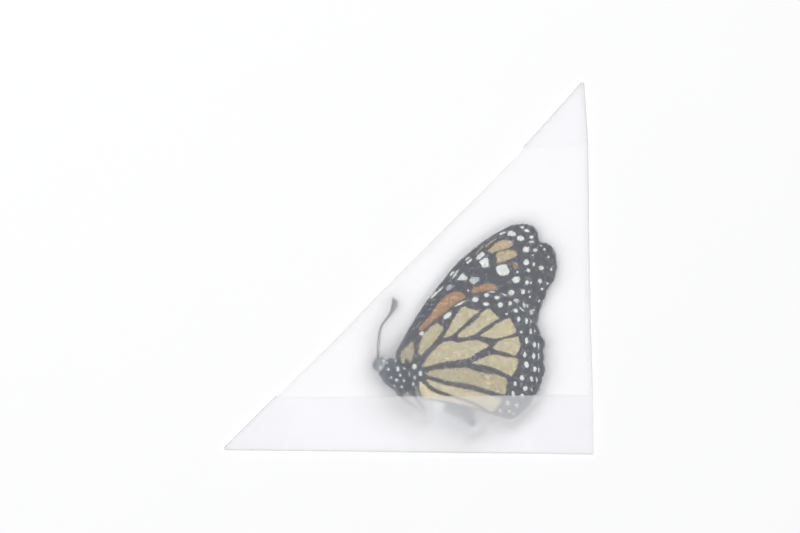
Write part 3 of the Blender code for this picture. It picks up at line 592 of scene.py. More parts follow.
def turnAbout(points, about, degrees):
    a = math.radians(degrees)
    rot = np.array([[math.cos(a), -math.sin(a)], [math.sin(a), math.cos(a)]])
    return (points - about) @ rot.T + about


def wingOutlines(step):
    root = toMm([wingSettings["foreRoot"]])[0]
    about = toMm([wingSettings["hindAbout"]])[0]
    near = toMm(foreLeftOutline)
    far = turnAbout(near, root, -wingSettings["foreTurn"])
    first, last = wingSettings["lobeSpan"]
    far = np.vstack((far[:first], toMm(farLobe), far[last:]))
    hind = toMm(hindOutline)
    loops = {"forewing_left": near, "forewing_right": far, "hindwing_left": hind,
             "hindwing_right": about + (hind - about) * wingSettings["hindShrink"]}
    for name, loop in loops.items():  # the outer margin carries a fine uneven fringe
        smooth = smoothLoop(loop, step)
        x, y = smooth.T
        outer = np.clip((toPixels(x, y)[0] - 505) / 20, 0, 1) * wingSettings["fringe"]
        loops[name] = smooth + np.column_stack((wave(x, y, 1.1, 41), wave(x, y, 1.1, 42))) * outer[:, None]
    return loops


def markWing(name, x, y):  # depths of the markings at each place, in millimetres
    root = toMm([wingSettings["foreRoot"]])[0]
    about = toMm([wingSettings["hindAbout"]])[0]
    flat = np.column_stack((x, y))
    px, py = toPixels(x, y)
    ownX, ownY = px, py
    if name == "forewing_right":
        flat = turnAbout(flat, root, wingSettings["foreTurn"])
        px, py = toPixels(flat[:, 0], flat[:, 1])
    if name == "hindwing_right":
        flat = about + (flat - about) / wingSettings["hindShrink"]
        px, py = toPixels(flat[:, 0], flat[:, 1])
    fore = name.startswith("fore")
    cells, spots, veins = (foreCells, foreSpots, foreVeins) if fore else (hindCells, hindSpots, hindVeins)
    cellDepth = np.full(px.shape, -9.0)
    tone, shade = np.zeros(px.shape), np.ones(px.shape)
    for cellTone, cellShade, outline in cells:
        depth = patchDepth(smoothLoop(outline, 1.0), px, py)
        nearer = depth > cellDepth
        cellDepth = np.where(nearer, depth, cellDepth)
        tone, shade = np.where(nearer, cellTone, tone), np.where(nearer, cellShade, shade)
    white, dim = spotDepth(spots, px, py)
    for dimness, outline in forePatches if fore else []:
        depth = patchDepth(np.array(outline, dtype=float), px, py)
        dim = np.where(depth > white, dimness, dim)
        white = np.maximum(white, depth)
    if name == "forewing_right":  # the showing margin has its own spots
        showing, showingDim = spotDepth(farSpots, ownX, ownY)
        beyond = ownX > wingSettings["lobeFrom"]
        white, dim = np.where(beyond, showing, white), np.where(beyond, showingDim, dim)
    vein = np.full(px.shape, 9.0)
    for line in veins:
        vein = np.minimum(vein, lineDistance(smoothLine(line, 2.0), px, py)[0])
    k = picture["mmPerPixel"]
    marks = {"cellDepth": cellDepth * k, "spotDepth": white * k, "tone": tone, "shade": shade, "dim": dim}
    return marks, vein * k


def wingMesh(loop, spacing):  # flat points and triangles over an outline
    count = len(loop)
    low, high = loop.min(axis=0), loop.max(axis=0)
    xs = np.arange(low[0], high[0], spacing)
    ys = np.arange(low[1], high[1], spacing * 0.866)
    gx, gy = np.meshgrid(xs, ys)
    gx = (gx + (np.arange(len(ys)) % 2)[:, None] * spacing / 2).ravel()
    gy = gy.ravel()
    keep = inside(loop, gx, gy)
    gx, gy = gx[keep], gy[keep]
    dist, _ = lineDistance(np.vstack((loop, loop[:1])), gx, gy)
    gx, gy = gx[dist > spacing * 0.6], gy[dist > spacing * 0.6]
    spots = np.vstack((loop, np.column_stack((gx, gy)))).tolist()
    edges = [(i, (i + 1) % count) for i in range(count)]
    pts, _, tris, _, _, _ = delaunay_2d_cdt([Vector(p) for p in spots], edges, [], 1, 1e-6)
    flat = np.array([(p.x, p.y) for p in pts])
    tris = np.array(tris)
    a, b, c = flat[tris[:, 0]], flat[tris[:, 1]], flat[tris[:, 2]]
    area = (b[:, 0] - a[:, 0]) * (c[:, 1] - a[:, 1]) - (b[:, 1] - a[:, 1]) * (c[:, 0] - a[:, 0])
    tris[area < 0] = tris[area < 0][:, ::-1]
    return flat, tris


def closePlate(top, bottom, tris):  # two skins and the rim between them
    total = len(top)
    faces = tris.tolist() + (tris[:, ::-1] + total).tolist()
    pairs = set()
    for a, b, c in tris.tolist():
        pairs.update(((a, b), (b, c), (c, a)))
    for a, b in pairs:
        if (b, a) not in pairs:
            faces.append([b, a, a + total, b + total])
    return np.vstack((top, bottom)), faces


def buildWing(name, loop, material):
    flat, tris = wingMesh(loop, wingSettings["meshStep"])
    x, y = flat[:, 0], flat[:, 1]
    marks, vein = markWing(name, x, y)
    base = wingHeight(name, x, y)
    ridge = wingSettings["veinHeight"] * np.exp(-(vein / wingSettings["veinHalf"]) ** 2)
    ripple = wingSettings["ripple"][0] * wave(x, y, wingSettings["ripple"][1], 5)
    top = np.column_stack((flat, base + wingSettings["thickness"] + ridge + ripple))
    bottom = np.column_stack((flat, base - ridge + ripple))
    points, faces = closePlate(top, bottom, tris)
    values = {key: np.tile(numbers, 2) for key, numbers in marks.items()}
    inner = slice(len(x), None) if name.endswith("left") else slice(0, len(x))
    values["tone"][inner] = 1.0  # the faces turned to each other are bright orange
    piece = makePiece(name + "_scaled", points, faces, material, values)
    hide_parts(name)


nearScales = buildWingMaterial("near wing scales", markStyle["dusty"])
# a darker copy of the scale material for the far wings, painted shade
farScales = buildWingMaterial("far wing scales", markStyle["farDustAndShade"])
outlines = wingOutlines(wingSettings["outlineStep"])
for wingName, wingSlot in (("hindwing_right", "wing_beige"), ("forewing_right", "wing_black"),
                           ("forewing_left", "wing_orange"), ("hindwing_left", "wing_beige")):
    buildWing(wingName, outlines[wingName], nearScales if wingName.endswith("left") else farScales)
print("wings built")

# Body
bodySettings = {
    "turn": 31.6,
    "head": {"spot": (380.4, 364.6), "semi": (1.60, 1.75, 1.45), "z": 2.55},
    "thorax": {"spot": (399.6, 375.4), "semi": (5.30, 3.75, 2.05), "z": 2.5},
    "boxy": 2.5,  # 2 is a plain ellipsoid, more is squarer
    "coat": 0.14,
    "abdomenLine": [(421.5, 391), (430, 395.5), (440, 400.5), (451, 405.5), (461, 411), (468, 417.5),
                    (473, 425)],
    "abdomenHalf": [1.0, 1.75, 2.1, 2.2, 2.0, 1.5, 0.7],
    "abdomenFlat": 0.50,
    "abdomenZ": [2.2, 2.2, 2.2, 2.25, 2.4, 2.7, 2.8],
    "abdomenSides": 72,
    "limbSides": 14,
    "grid": (96, 56),
    "grooves": ((-0.72, 0.05), (0.45, 0.03)),  # a collar behind the neck and one before the waist
    "grooveWidth": 0.07,
    "rings": 8,
    "paleTo": 0.42,  # the underside of the abdomen is pale up to here
    "spots": [
        (383.8, 360.8, 2.5, 3, 0), (380.5, 367, 2, 2, 0), (388.5, 369, 2.5, 2.5, 0),
        (395.8, 360.2, 2.2, 3.5, 0), (397.7, 368.5, 3.2, 5, 0), (404.6, 367.8, 3, 2.5, 0),
        (400, 374.8, 2.5, 3, 0), (396.5, 379.4, 3.4, 3, 0), (403.7, 380.2, 2.4, 3.2, 0),
        (409.2, 373.8, 1.2, 5, 0), (414.4, 377.3, 2.5, 4, 0), (413, 383.5, 2.4, 4.6, 0),
        (401.7, 386.3, 2.5, 3, 0), (415.8, 387.3, 2.6, 3, 0), (407, 393, 3, 4, 0),
        (391, 377, 2.2, 2.6, 0), (394, 385.5, 2.4, 2.6, 0), (387, 362.5, 1.8, 2, 0),
    ],
}
hairSettings = {
    "thorax": {"perMm2": 120.0, "length": 0.40, "thickness": 0.020, "lift": 0.10, "jitter": 0.14, "seed": 3},
    "head": {"perMm2": 120.0, "length": 0.42, "thickness": 0.016, "lift": 0.18, "jitter": 0.2, "seed": 4},
    "abdomen": {"perMm2": 55.0, "length": 0.34, "thickness": 0.013, "lift": 0.18, "jitter": 0.25, "seed": 5},
}
eyeSettings = {
    "spot": (377.2, 364.6), "semi": (0.72, 0.95, 0.68), "eye_left": 3.15, "eye_right": 1.65, "grid": (36, 20),
    "facets": 14000.0, "middle": (0.035, 0.026, 0.022, 1), "rim": (0.010, 0.008, 0.008, 1),
}
legSettings = {
    "leg_mid_left": [(393.5, 384.5, 3.1, 0.75), (397.0, 388.6, 3.6, 0.50), (400.6, 393.6, 3.95, 0.35),
                     (406.0, 400.2, 3.90, 0.31), (413.4, 404.8, 3.65, 0.22)],
    "leg_hind_left": [(409.5, 388.6, 2.9, 1.00), (412.4, 392.8, 3.3, 0.78), (415.4, 397.2, 3.90, 0.38),
                      (419.6, 402.8, 3.90, 0.31), (423.8, 408.4, 3.70, 0.27), (426.1, 413.6, 3.4, 0.18)],
    "leg_mid_right": [(395.4, 389.6, 1.5, 0.28), (399.4, 396, 1.3, 0.27), (404.8, 401.6, 1.0, 0.20),
                      (411.4, 406, 0.8, 0.14)],
    "leg_hind_right": [(410, 403, 0.95, 0.28), (415, 406.8, 0.95, 0.26), (420, 411.2, 1.0, 0.22),
                       (424, 415.4, 0.8, 0.14)],
    "spinesPerMm": 7.0, "spineLength": 0.34, "spineThickness": 0.02, "ringPitch": 1.9, "ringDepth": 0.25,
}
antennaSettings = {
    "antenna_left": [(377.4, 357.4, 2.70, 0.15), (377.5, 346.7, 2.6, 0.14), (378.2, 338, 2.5, 0.14),
                     (380.2, 327.5, 2.3, 0.15), (385.8, 318.8, 2.1, 0.17), (390.6, 312, 1.9, 0.22),
                     (392.9, 304.2, 1.7, 0.34), (393.4, 300, 1.6, 0.36), (393.5, 297.6, 1.55, 0.20)],
    "antenna_right": [(378.6, 357.4, 1.90, 0.15), (379.2, 346.7, 1.8, 0.14), (379.7, 338, 1.7, 0.14),
                      (381.4, 327.5, 1.55, 0.15), (386.6, 319.4, 1.4, 0.17), (392.5, 312.0, 1.25, 0.22),
                      (395.8, 306.4, 1.1, 0.34), (396.3, 303, 1.05, 0.36), (395.5, 300.4, 1.0, 0.20)],
    "ringPitch": 0.34, "ringDepth": 0.16,
}


def abdomenRows():  # place, height and half width along the abdomen
    columns = (bodySettings["abdomenLine"], bodySettings["abdomenZ"], bodySettings["abdomenHalf"])
    return [(*spot, z, half) for spot, z, half in zip(*columns)]


def ellipsoidTop(part, x, y):
    spot, semi = toMm([part["spot"]])[0], part["semi"]
    a = math.radians(-bodySettings["turn"])
    c, s = math.cos(a), math.sin(a)
    u, v = (x - spot[0]) * c + (y - spot[1]) * s, -(x - spot[0]) * s + (y - spot[1]) * c
    power = bodySettings["boxy"]
    left = 1 - np.abs(u / semi[0]) ** power - np.abs(v / semi[1]) ** power
    return np.where(left > 0, part["z"] + semi[2] * np.maximum(left, 0) ** (1 / power), -1.0)


def tubeTop(path, x, y, factor=1.0):
    rows = np.array(path, dtype=float)
    dist, along = lineDistance(toMm(rows[:, :2]), x, y)
    spots = np.linspace(0, 1, len(rows))
    radius = np.interp(along, spots, rows[:, 3])
    return np.where(dist < radius + 0.3, np.interp(along, spots, rows[:, 2]) + radius * factor, -1.0)


def buildBodyMaterial(name, dark, pale, roughness, grain, pattern):
    made, tree, shader, place = newMaterial(name)
    noise = noiseOf(tree, place, grain, 4.0)
    colour = blend2(tree, noise, dark, tuple(c * 1.9 for c in dark[:3]) + (1,))
    if pattern:
        spot = useGroup(tree, softEdge, {"Place": place, "Depth": readValue(tree, "spotDepth"),
                        "Softness": 0.1, "Ragged": 0.12})
        colour = blend2(tree, spot.outputs["Mask"], colour, pale)
    rough = rangeOf(tree, noise, (0.0, 1.0), (roughness - 0.12, roughness + 0.12))
    setSockets(tree, shader, {"Base Color": colour, "Roughness": rough,
                              "Normal": bumpOf(tree, noise, 0.3, 0.00004)})
    return made


bodyColours = {
    "dark": (0.018, 0.028, 0.048, 1), "ash": (0.30, 0.33, 0.35, 1), "pale": (0.80, 0.83, 0.82, 1),
    "grey": (0.075, 0.095, 0.125, 1), "down": (0.085, 0.10, 0.125, 1), "shell": (0.030, 0.030, 0.034, 1),
    "feeler": (0.085, 0.088, 0.095, 1),
}
bodyPaints = {}
for paintName, paintTone, paintRoughness, paintGrain, spotted in (
        ("body cuticle", "dark", 0.5, 1500.0, True), ("body hair", "dark", 0.6, 2500.0, True),
        ("head scales", "ash", 0.6, 1800.0, True), ("abdomen scales", "grey", 0.6, 1400.0, True),
        ("head hair", "down", 0.6, 2500.0, True), ("leg shell", "shell", 0.42, 2200.0, False),
        ("feeler shell", "feeler", 0.42, 2200.0, False)):
    bodyPaints[paintName] = buildBodyMaterial(paintName, bodyColours[paintTone], bodyColours["pale"],
                                              paintRoughness, paintGrain, spotted)


def buildEyeMaterial():
    made, tree, shader, place = newMaterial("compound eye")
    facets = addNode(tree, "ShaderNodeTexVoronoi", None, {"Vector": place, "Scale": eyeSettings["facets"]})
    rim = rangeOf(tree, facets.outputs["Distance"], (0.2, 0.7))
    colour = blend2(tree, rim, eyeSettings["middle"], eyeSettings["rim"])
    bump = bumpOf(tree, facets.outputs["Distance"], 0.5, 0.00002, True)
    setSockets(tree, shader, {"Base Color": colour, "Normal": bump, "Roughness": 0.22})
    return made


def sphereGrid(segments, rings):
    points = [(0, 0, 1.0)]
    for r in range(1, rings):
        a = math.pi * r / rings
        points += [(math.sin(a) * math.cos(2 * math.pi * s / segments),
                    math.sin(a) * math.sin(2 * math.pi * s / segments), math.cos(a)) for s in range(segments)]
    points.append((0, 0, -1.0))
    faces = []
    for s in range(segments):
        t = (s + 1) % segments
        faces.append([0, 1 + s, 1 + t])
        for r in range(rings - 2):
            a = 1 + r * segments
            faces.append([a + s, a + segments + s, a + segments + t, a + t])
        a = 1 + (rings - 2) * segments
        faces.append([a + s, len(points) - 1, a + t])
    return np.array(points), faces


def placeBody(part, sphere):  # unit sphere to a body part, turned in the plane
    spot = toMm([part["spot"]])[0]
    size = sphere * np.array(part["semi"])
    flat = turnAbout(size[:, :2], np.zeros(2), -bodySettings["turn"]) + spot
    return np.column_stack((flat, size[:, 2] + part["z"]))


def coverOf(points):  # 1 in the open, 0 where a wing lies close above or below
    x, y, z = points.T
    free = np.ones(len(points))
    for name, loop in outlines.items():
        near = inside(loop, x, y) | (lineDistance(np.vstack((loop, loop[:1])), x, y)[0] < 0.5)
        gap = np.abs(wingHeight(name, x, y) + 0.06 - z)
        free = np.where(near & (gap < 0.9), 0.0, free)
    return free


def bodyValues(points, normals, settings, backward):
    px, py = toPixels(points[:, 0], points[:, 1])
    comb = np.array([backward[0], backward[1], 0.0]) * (1 - settings["lift"]) + normals * settings["lift"]
    return {"spotDepth": spotDepth(bodySettings["spots"], px, py)[0] * picture["mmPerPixel"],
            "comb": comb, "cover": coverOf(points)}


def startTree(name, numbers):  # a geometry tree with named numbers and a seed
    tree = bpy.data.node_groups.new(name, "GeometryNodeTree")
    tree.interface.new_socket("Geometry", in_out="INPUT", socket_type="NodeSocketGeometry")
    for label, default in numbers:
        socket = tree.interface.new_socket(label, in_out="INPUT", socket_type="NodeSocketFloat")
        socket.default_value = default
    tree.interface.new_socket("Seed", in_out="INPUT", socket_type="NodeSocketInt").default_value = 1
    tree.interface.new_socket("Geometry", in_out="OUTPUT", socket_type="NodeSocketGeometry")
    return tree, tree.nodes.new("NodeGroupInput"), tree.nodes.new("NodeGroupOutput")


def endTree(tree, start, end, points, aim, length, material):  # a thin cone on every point, made real
    cone = addNode(tree, "GeometryNodeMeshCone", {"fill_type": "NGON"},
                   {"Vertices": 3, "Side Segments": 1, "Radius Top": 0.0, "Radius Bottom": 1.0, "Depth": 1.0})
    rotation = addNode(tree, "FunctionNodeAlignRotationToVector", {"axis": "Z"}, {"Vector": aim})
    width = sum2(tree, "MULTIPLY", start.outputs["Thickness"], 0.001)
    size = addNode(tree, "ShaderNodeCombineXYZ", None, {0: width, 1: width, 2: length})
    place = addNode(tree, "GeometryNodeInstanceOnPoints", None, {"Points": points,
                    "Instance": cone.outputs["Mesh"], "Rotation": rotation.outputs[0],
                    "Scale": size.outputs[0]})
    real = addNode(tree, "GeometryNodeRealizeInstances", None, {0: place.outputs[0]})
    paint = addNode(tree, "GeometryNodeSetMaterial", None, {"Geometry": real.outputs[0]})
    paint.inputs["Material"].default_value = material
    tree.links.new(paint.outputs[0], end.inputs["Geometry"])
    return tree


def randomTurn(tree, start, low, high):
    turn = addNode(tree, "FunctionNodeRandomValue", {"data_type": "FLOAT_VECTOR"},
                   {0: low, 1: high, "Seed": start.outputs["Seed"]})
    return turn.outputs[0]


def buildFurTree(name, material):
    numbers = (("Per mm2", 60.0), ("Length", 0.6), ("Thickness", 0.02), ("Jitter", 0.3))
    tree, start, end = startTree(name, numbers)
    cover = addNode(tree, "GeometryNodeInputNamedAttribute", {"data_type": "FLOAT"}, {"Name": "cover"})
    comb = addNode(tree, "GeometryNodeInputNamedAttribute", {"data_type": "FLOAT_VECTOR"}, {"Name": "comb"})
    perSquareMetre = sum2(tree, "MULTIPLY", start.outputs["Per mm2"], 1e6)
    density = sum2(tree, "MULTIPLY", perSquareMetre, cover.outputs[0])
    spread = addNode(tree, "GeometryNodeDistributePointsOnFaces", {"distribute_method": "RANDOM"},
                     {"Mesh": start.outputs["Geometry"], "Density": density, "Seed": start.outputs["Seed"]})
    turn = randomTurn(tree, start, (-1, -1, -1), (1, 1, 1))
    aim = vectorSum(tree, comb.outputs[0], vectorTimes(tree, turn, start.outputs["Jitter"]))
    share = addNode(tree, "FunctionNodeRandomValue", {"data_type": "FLOAT"}, {2: 0.45, 3: 1.15, "Seed": 11})
    length = sum2(tree, "MULTIPLY", start.outputs["Length"], 0.001)
    length = sum2(tree, "MULTIPLY", length, share.outputs[1])
    return endTree(tree, start, end, spread.outputs["Points"], aim, length, material)


furTree = buildFurTree("furCoat", bodyPaints["body hair"])
headTree = buildFurTree("headCoat", bodyPaints["head hair"])


def growFur(skin, key):
    settings = hairSettings[key]
    inputs = {"Per mm2": settings["perMm2"], "Length": settings["length"], "Thickness": settings["thickness"],
              "Jitter": settings["jitter"], "Seed": settings["seed"]}
    return bakeTree(skin, headTree if key == "head" else furTree, inputs, key + "_hair")


def buildHeadAndThorax():
    a = math.radians(-bodySettings["turn"])
    backward = np.array([math.cos(a), math.sin(a)])
    for key in ("head", "thorax"):
        part = bodySettings[key]
        sphere, faces = sphereGrid(*bodySettings["grid"])
        power = bodySettings["boxy"]
        sphere /= (np.abs(sphere) ** power).sum(axis=1)[:, None] ** (1 / power)
        points = placeBody(part, sphere)
        lump = 1 + 0.015 * wave(points[:, 0] + points[:, 2], points[:, 1] - points[:, 2], 2.6, 8)
        if key == "thorax":
            for spot, depth in bodySettings["grooves"]:
                lump -= depth * np.exp(-((sphere[:, 0] - spot) / bodySettings["grooveWidth"]) ** 2)
        points = placeBody(part, sphere * np.minimum(lump, 1.03)[:, None])
        outward = np.sign(sphere) * np.abs(sphere) ** (power - 1)
        normals = placeBody(part, outward / np.array(part["semi"]) ** 2) - placeBody(part, sphere * 0)
        normals /= np.linalg.norm(normals, axis=1)[:, None]
        values = bodyValues(points, normals, hairSettings[key], backward if key == "thorax" else -backward)
        paint = bodyPaints["body cuticle" if key == "thorax" else "head scales"]
        skin = makePiece(key + "_skin", points, faces, paint, values)
        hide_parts(key)
        growFur(skin, key)


def tubeFaces(rings, sides):  # quads along a tube, and fans that close its ends to the last two points
    faces = []
    for i in range(rings - 1):
        for s in range(sides):
            a, b = i * sides + s, i * sides + (s + 1) % sides
            faces.append([a, b, b + sides, a + sides])
    for end, ring in enumerate((0, rings - 1)):
        for s in range(sides):
            faces.append([ring * sides + s, ring * sides + (s + 1) % sides, rings * sides + end])
    return faces


def buildAbdomen():
    line = smoothLine(abdomenRows(), 0.35)
    flat = toMm(line[:, :2])
    sides = bodySettings["abdomenSides"]
    share = np.linspace(0, 1, len(line))
    swell = 1 - 0.06 * (0.5 + 0.5 * np.cos(2 * math.pi * bodySettings["rings"] * share)) ** 4
    points, normals = [], []
    for i, (x, y) in enumerate(flat):
        ahead = flat[min(i + 1, len(flat) - 1)] - flat[max(i - 1, 0)]
        ahead /= np.linalg.norm(ahead)
        side = np.array([ahead[1], -ahead[0]])
        for s in range(sides):
            a = 2 * math.pi * s / sides
            reach = line[i, 3] * swell[i]
            points.append((*(np.array([x, y]) + side * reach * math.cos(a)),
                           line[i, 2] + reach * math.sin(a) * bodySettings["abdomenFlat"]))
            normals.append((*(side * math.cos(a)), math.sin(a)))
    for ring, tip, push in ((0, flat[0] - flat[1], 0.5), (len(flat) - 1, flat[-1] - flat[-2], 0.4)):
        where = flat[ring] + tip / np.linalg.norm(tip) * push
        points.append((where[0], where[1], line[ring, 2]))
        normals.append((*(tip / np.linalg.norm(tip)), 0.0))
    faces = tubeFaces(len(flat), sides)
    points, normals = np.array(points), np.array(normals)
    along = flat[-1] - flat[0]
    values = bodyValues(points, normals, hairSettings["abdomen"], along / np.linalg.norm(along))
    run = np.concatenate((np.repeat(share, sides), [0.0, 1.0]))
    values["spotDepth"] = np.maximum(values["spotDepth"], (bodySettings["paleTo"] - run) * 2.5)
    values["cover"] *= 0.6 + 2.6 * run ** 8  # a dark tuft at the tip
    skin = makePiece("abdomen_skin", points, faces, bodyPaints["abdomen scales"], values)
    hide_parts("abdomen")
    growFur(skin, "abdomen")


def buildEyes():
    material = buildEyeMaterial()
    sphere, faces = sphereGrid(*eyeSettings["grid"])
    for name in ("eye_left", "eye_right"):
        part = {"spot": eyeSettings["spot"], "semi": eyeSettings["semi"], "z": eyeSettings[name]}
        makePiece(name, placeBody(part, sphere), faces, material)


def ringedTube(name, rows, material, pitch, depth):  # a leg or a feeler, with a groove at every joint
    sides = bodySettings["limbSides"]
    line = smoothLine(rows, 0.22)
    centre = np.column_stack((toMm(line[:, :2]), line[:, 2]))
    run = np.concatenate(([0], np.cumsum(np.linalg.norm(np.diff(centre, axis=0), axis=1))))
    radius = line[:, 3] * (1 - depth * (0.5 + 0.5 * np.cos(2 * math.pi * run / pitch)) ** 6)
    points = []
    for i, c in enumerate(centre):
        ahead = centre[min(i + 1, len(centre) - 1)] - centre[max(i - 1, 0)]
        ahead /= np.linalg.norm(ahead)
        side = np.cross(ahead, (0, 0, 1.0))
        side /= np.linalg.norm(side)
        up = np.cross(side, ahead)
        for s in range(sides):
            a = 2 * math.pi * s / sides
            points.append(c + radius[i] * (side * math.cos(a) + up * math.sin(a)))
    for ring, other in ((0, 1), (len(centre) - 1, len(centre) - 2)):
        push = (centre[ring] - centre[other]) / np.linalg.norm(centre[ring] - centre[other])
        points.append(centre[ring] + push * radius[ring] * 0.6)
    faces = tubeFaces(len(centre), sides)
    piece = makePiece(name + "_ringed", points, faces, material)
    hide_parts(name)


def buildSpineTree(name, material):
    tree, start, end = startTree(name, (("Per mm", 6.0), ("Length", 0.3), ("Thickness", 0.02)))
    curve = addNode(tree, "GeometryNodeMeshToCurve", None, {"Mesh": start.outputs["Geometry"]})
    gap = sum2(tree, "DIVIDE", 0.001, start.outputs["Per mm"])
    points = addNode(tree, "GeometryNodeCurveToPoints", {"mode": "LENGTH"},
                     {"Curve": curve.outputs[0], "Length": gap})
    turn = randomTurn(tree, start, (-1, -1, -0.5), (1, 1, 0.5))
    aim = vectorSum(tree, vectorTimes(tree, points.outputs["Tangent"], 0.8), turn)
    length = sum2(tree, "MULTIPLY", start.outputs["Length"], 0.001)
    return endTree(tree, start, end, points.outputs["Points"], aim, length, material)


legNames = ("leg_mid_left", "leg_hind_left", "leg_mid_right", "leg_hind_right")
antennaNames = ("antenna_left", "antenna_right")


def buildLegs():
    tree = buildSpineTree("legSpines", bodyPaints["leg shell"])
    for number, name in enumerate(legNames):
        rows = legSettings[name]
        ringedTube(name, rows, bodyPaints["leg shell"], legSettings["ringPitch"], legSettings["ringDepth"])
        line = smoothLine(rows, 1.0)
        path = np.column_stack((toMm(line[:, :2]), line[:, 2])) * 0.001
        guideMesh = bpy.data.meshes.new(name + "_guide")
        guideMesh.from_pydata(path.tolist(), [(i, i + 1) for i in range(len(path) - 1)], [])
        guide = bpy.data.objects.new(name + "_guide", guideMesh)
        scene.collection.objects.link(guide)
        inputs = {"Per mm": legSettings["spinesPerMm"], "Length": legSettings["spineLength"],
                  "Thickness": legSettings["spineThickness"], "Seed": 20 + number}
        bakeTree(guide, tree, inputs, name + "_spines")
        bpy.data.objects.remove(guide, do_unlink=True)


buildHeadAndThorax()
buildAbdomen()
buildEyes()
buildLegs()
for feeler in antennaNames:
    ringedTube(feeler, antennaSettings[feeler], bodyPaints["feeler shell"], antennaSettings["ringPitch"],
               antennaSettings["ringDepth"])
print("body built")

# Envelope
paperSettings = {
    "thickness": 0.10, "layerStep": 0.20, "gap": 0.06, "reach": 0.7, "load": 0.0220,
    "flapEase": 0.35,  # how much less the paper sags under the flap
    "gridCount": 120, "stripCount": 20, "foldSteps": 5, "flapMargin": 4, "drapeRounds": 3600,
    "swell": {"long": 0.5, "bottom": 0.15, "right": 0.35},  # how far each fold springs open in its middle
    "bulge": 0.26, "longBulge": (0.10, 0.32),  # how far the folds stand out
    "tip": (221.5, 449.9), "apex": (583.9, 79.2),
    "rightLeg": [(593.3, 454.3), (592.8, 390), (591, 330), (589.3, 250), (588, 140), (583.9, 79.2)],
    "longBow": [(0, 0), (0.1, 0.5), (0.2, 1.5), (0.3, 3.2), (0.5, 3.4), (0.7, 4.6), (0.8, 4.2), (0.9, 2.3),
                (1, 0)],
    "flapLeft": (275.4, 398.8), "flapRight": (592.9, 394.8),
    # how far each layer's edges stay inside the outline: long fold, right leg, bottom leg
    "insets": {"back": (0.45, 0.75, 0.30), "front": (0.45, 0.30, 0.75), "frontFlap": (0.30, 0.02, 0.30),
               "frontTab": (0.30, 0.30, 0.60), "backFlap": (0.30, 0.30, 0.75), "backTab": (0.30, 0.60, 0.30)},
    # the share of light that goes straight through, and the share of the rest that is scattered onwards
    "clear": 0.67, "milk": 0.845,
    "flapClear": 0.60, "flapMilk": 0.43,  # the flap stands off and is whiter
    "veilColour": (0.975, 0.975, 0.992, 1), "milkColour": (0.997, 0.995, 0.998, 1), "creaseShade": 0.055,
}


def buildPaperMaterial(name, clearShare, milkShare):  # part clear, part milky, part white on top
    made = bpy.data.materials.new(name)
    made.use_nodes = True
    tree = made.node_tree
    tree.nodes.remove(tree.nodes["Principled BSDF"])
    out = tree.nodes["Material Output"]
    place = addNode(tree, "ShaderNodeTexCoord").outputs["Object"]
    cloud = useGroup(tree, paperCloud, {"Place": place, "Size": 240.0, "Strength": 0.03})
    fine = useGroup(tree, paperCloud, {"Place": place, "Size": 900.0, "Strength": 0.25})
    # painted shade: the clear, milky and white shares all darken along the folds and the flap's edge,
    # standing in for the shading at the folds
    foldShade = sum2(tree, "MULTIPLY", readValue(tree, "foldShade"), paperSettings["creaseShade"])
    wearAndFoldShade = sum2(tree, "SUBTRACT", 1.0, foldShade)
    foldShadeGrey = greyOf(tree, wearAndFoldShade)
    veil = blend2(tree, 1.0, paperSettings["veilColour"], greyOf(tree, cloud.outputs["Cloud"]), "MULTIPLY")
    veil = blend2(tree, 1.0, veil, foldShadeGrey, "MULTIPLY")
    milk = blend2(tree, 1.0, paperSettings["milkColour"], foldShadeGrey, "MULTIPLY")
    bump = bumpOf(tree, fine.outputs["Height"], 0.12, 0.00005)
    clear = addNode(tree, "ShaderNodeBsdfTransparent", None, {"Color": foldShadeGrey})
    milky = addNode(tree, "ShaderNodeBsdfTranslucent", None, {"Color": milk, "Normal": bump})
    white = addNode(tree, "ShaderNodeBsdfDiffuse", None, {"Color": veil, "Normal": bump})
    body = addNode(tree, "ShaderNodeMixShader", None,
                   {0: milkShare, 1: white.outputs[0], 2: milky.outputs[0]})
    both = addNode(tree, "ShaderNodeMixShader", None,
                   {0: clearShare, 1: body.outputs[0], 2: clear.outputs[0]})
    setSockets(tree, out, {"Surface": both.outputs[0]})
    return made


def contentsTop(x, y):  # highest point of the butterfly at each place
    top = np.full(np.shape(x), paperSettings["thickness"])
    for name, loop in outlines.items():
        height = wingHeight(name, x, y) + wingSettings["thickness"] + 0.05
        top = np.where(inside(loop, x, y), np.maximum(top, height), top)
    for key in ("head", "thorax"):
        bump = ellipsoidTop(bodySettings[key], x, y)
        top = np.maximum(top, np.where(bump > 0, bump + bodySettings["coat"], -1))
    for path in [antennaSettings[key] for key in antennaNames] + [legSettings[key] for key in legNames]:
        top = np.maximum(top, tubeTop(path, x, y))
    return np.maximum(top, tubeTop(abdomenRows(), x, y, bodySettings["abdomenFlat"] + 0.08))


def meetLines(lineA, shiftA, lineB, shiftB):
    (p, d, n), (q, e, m) = lineA, lineB
    p, q = p + n * shiftA, q + m * shiftB
    return p + d * np.linalg.solve(np.column_stack((d, -e)), q - p)[0]


def edgeLine(a, b, inner):
    d = (b - a) / np.linalg.norm(b - a)
    n = np.array([-d[1], d[0]])
    return (a, d, n if (inner - a) @ n > 0 else -n)


def paperCorners():
    tip, apex = toMm([paperSettings["tip"]])[0], toMm([paperSettings["apex"]])[0]
    corner = toMm([paperSettings["rightLeg"][0]])[0]
    return tip, apex, corner, (tip + apex + corner) / 3


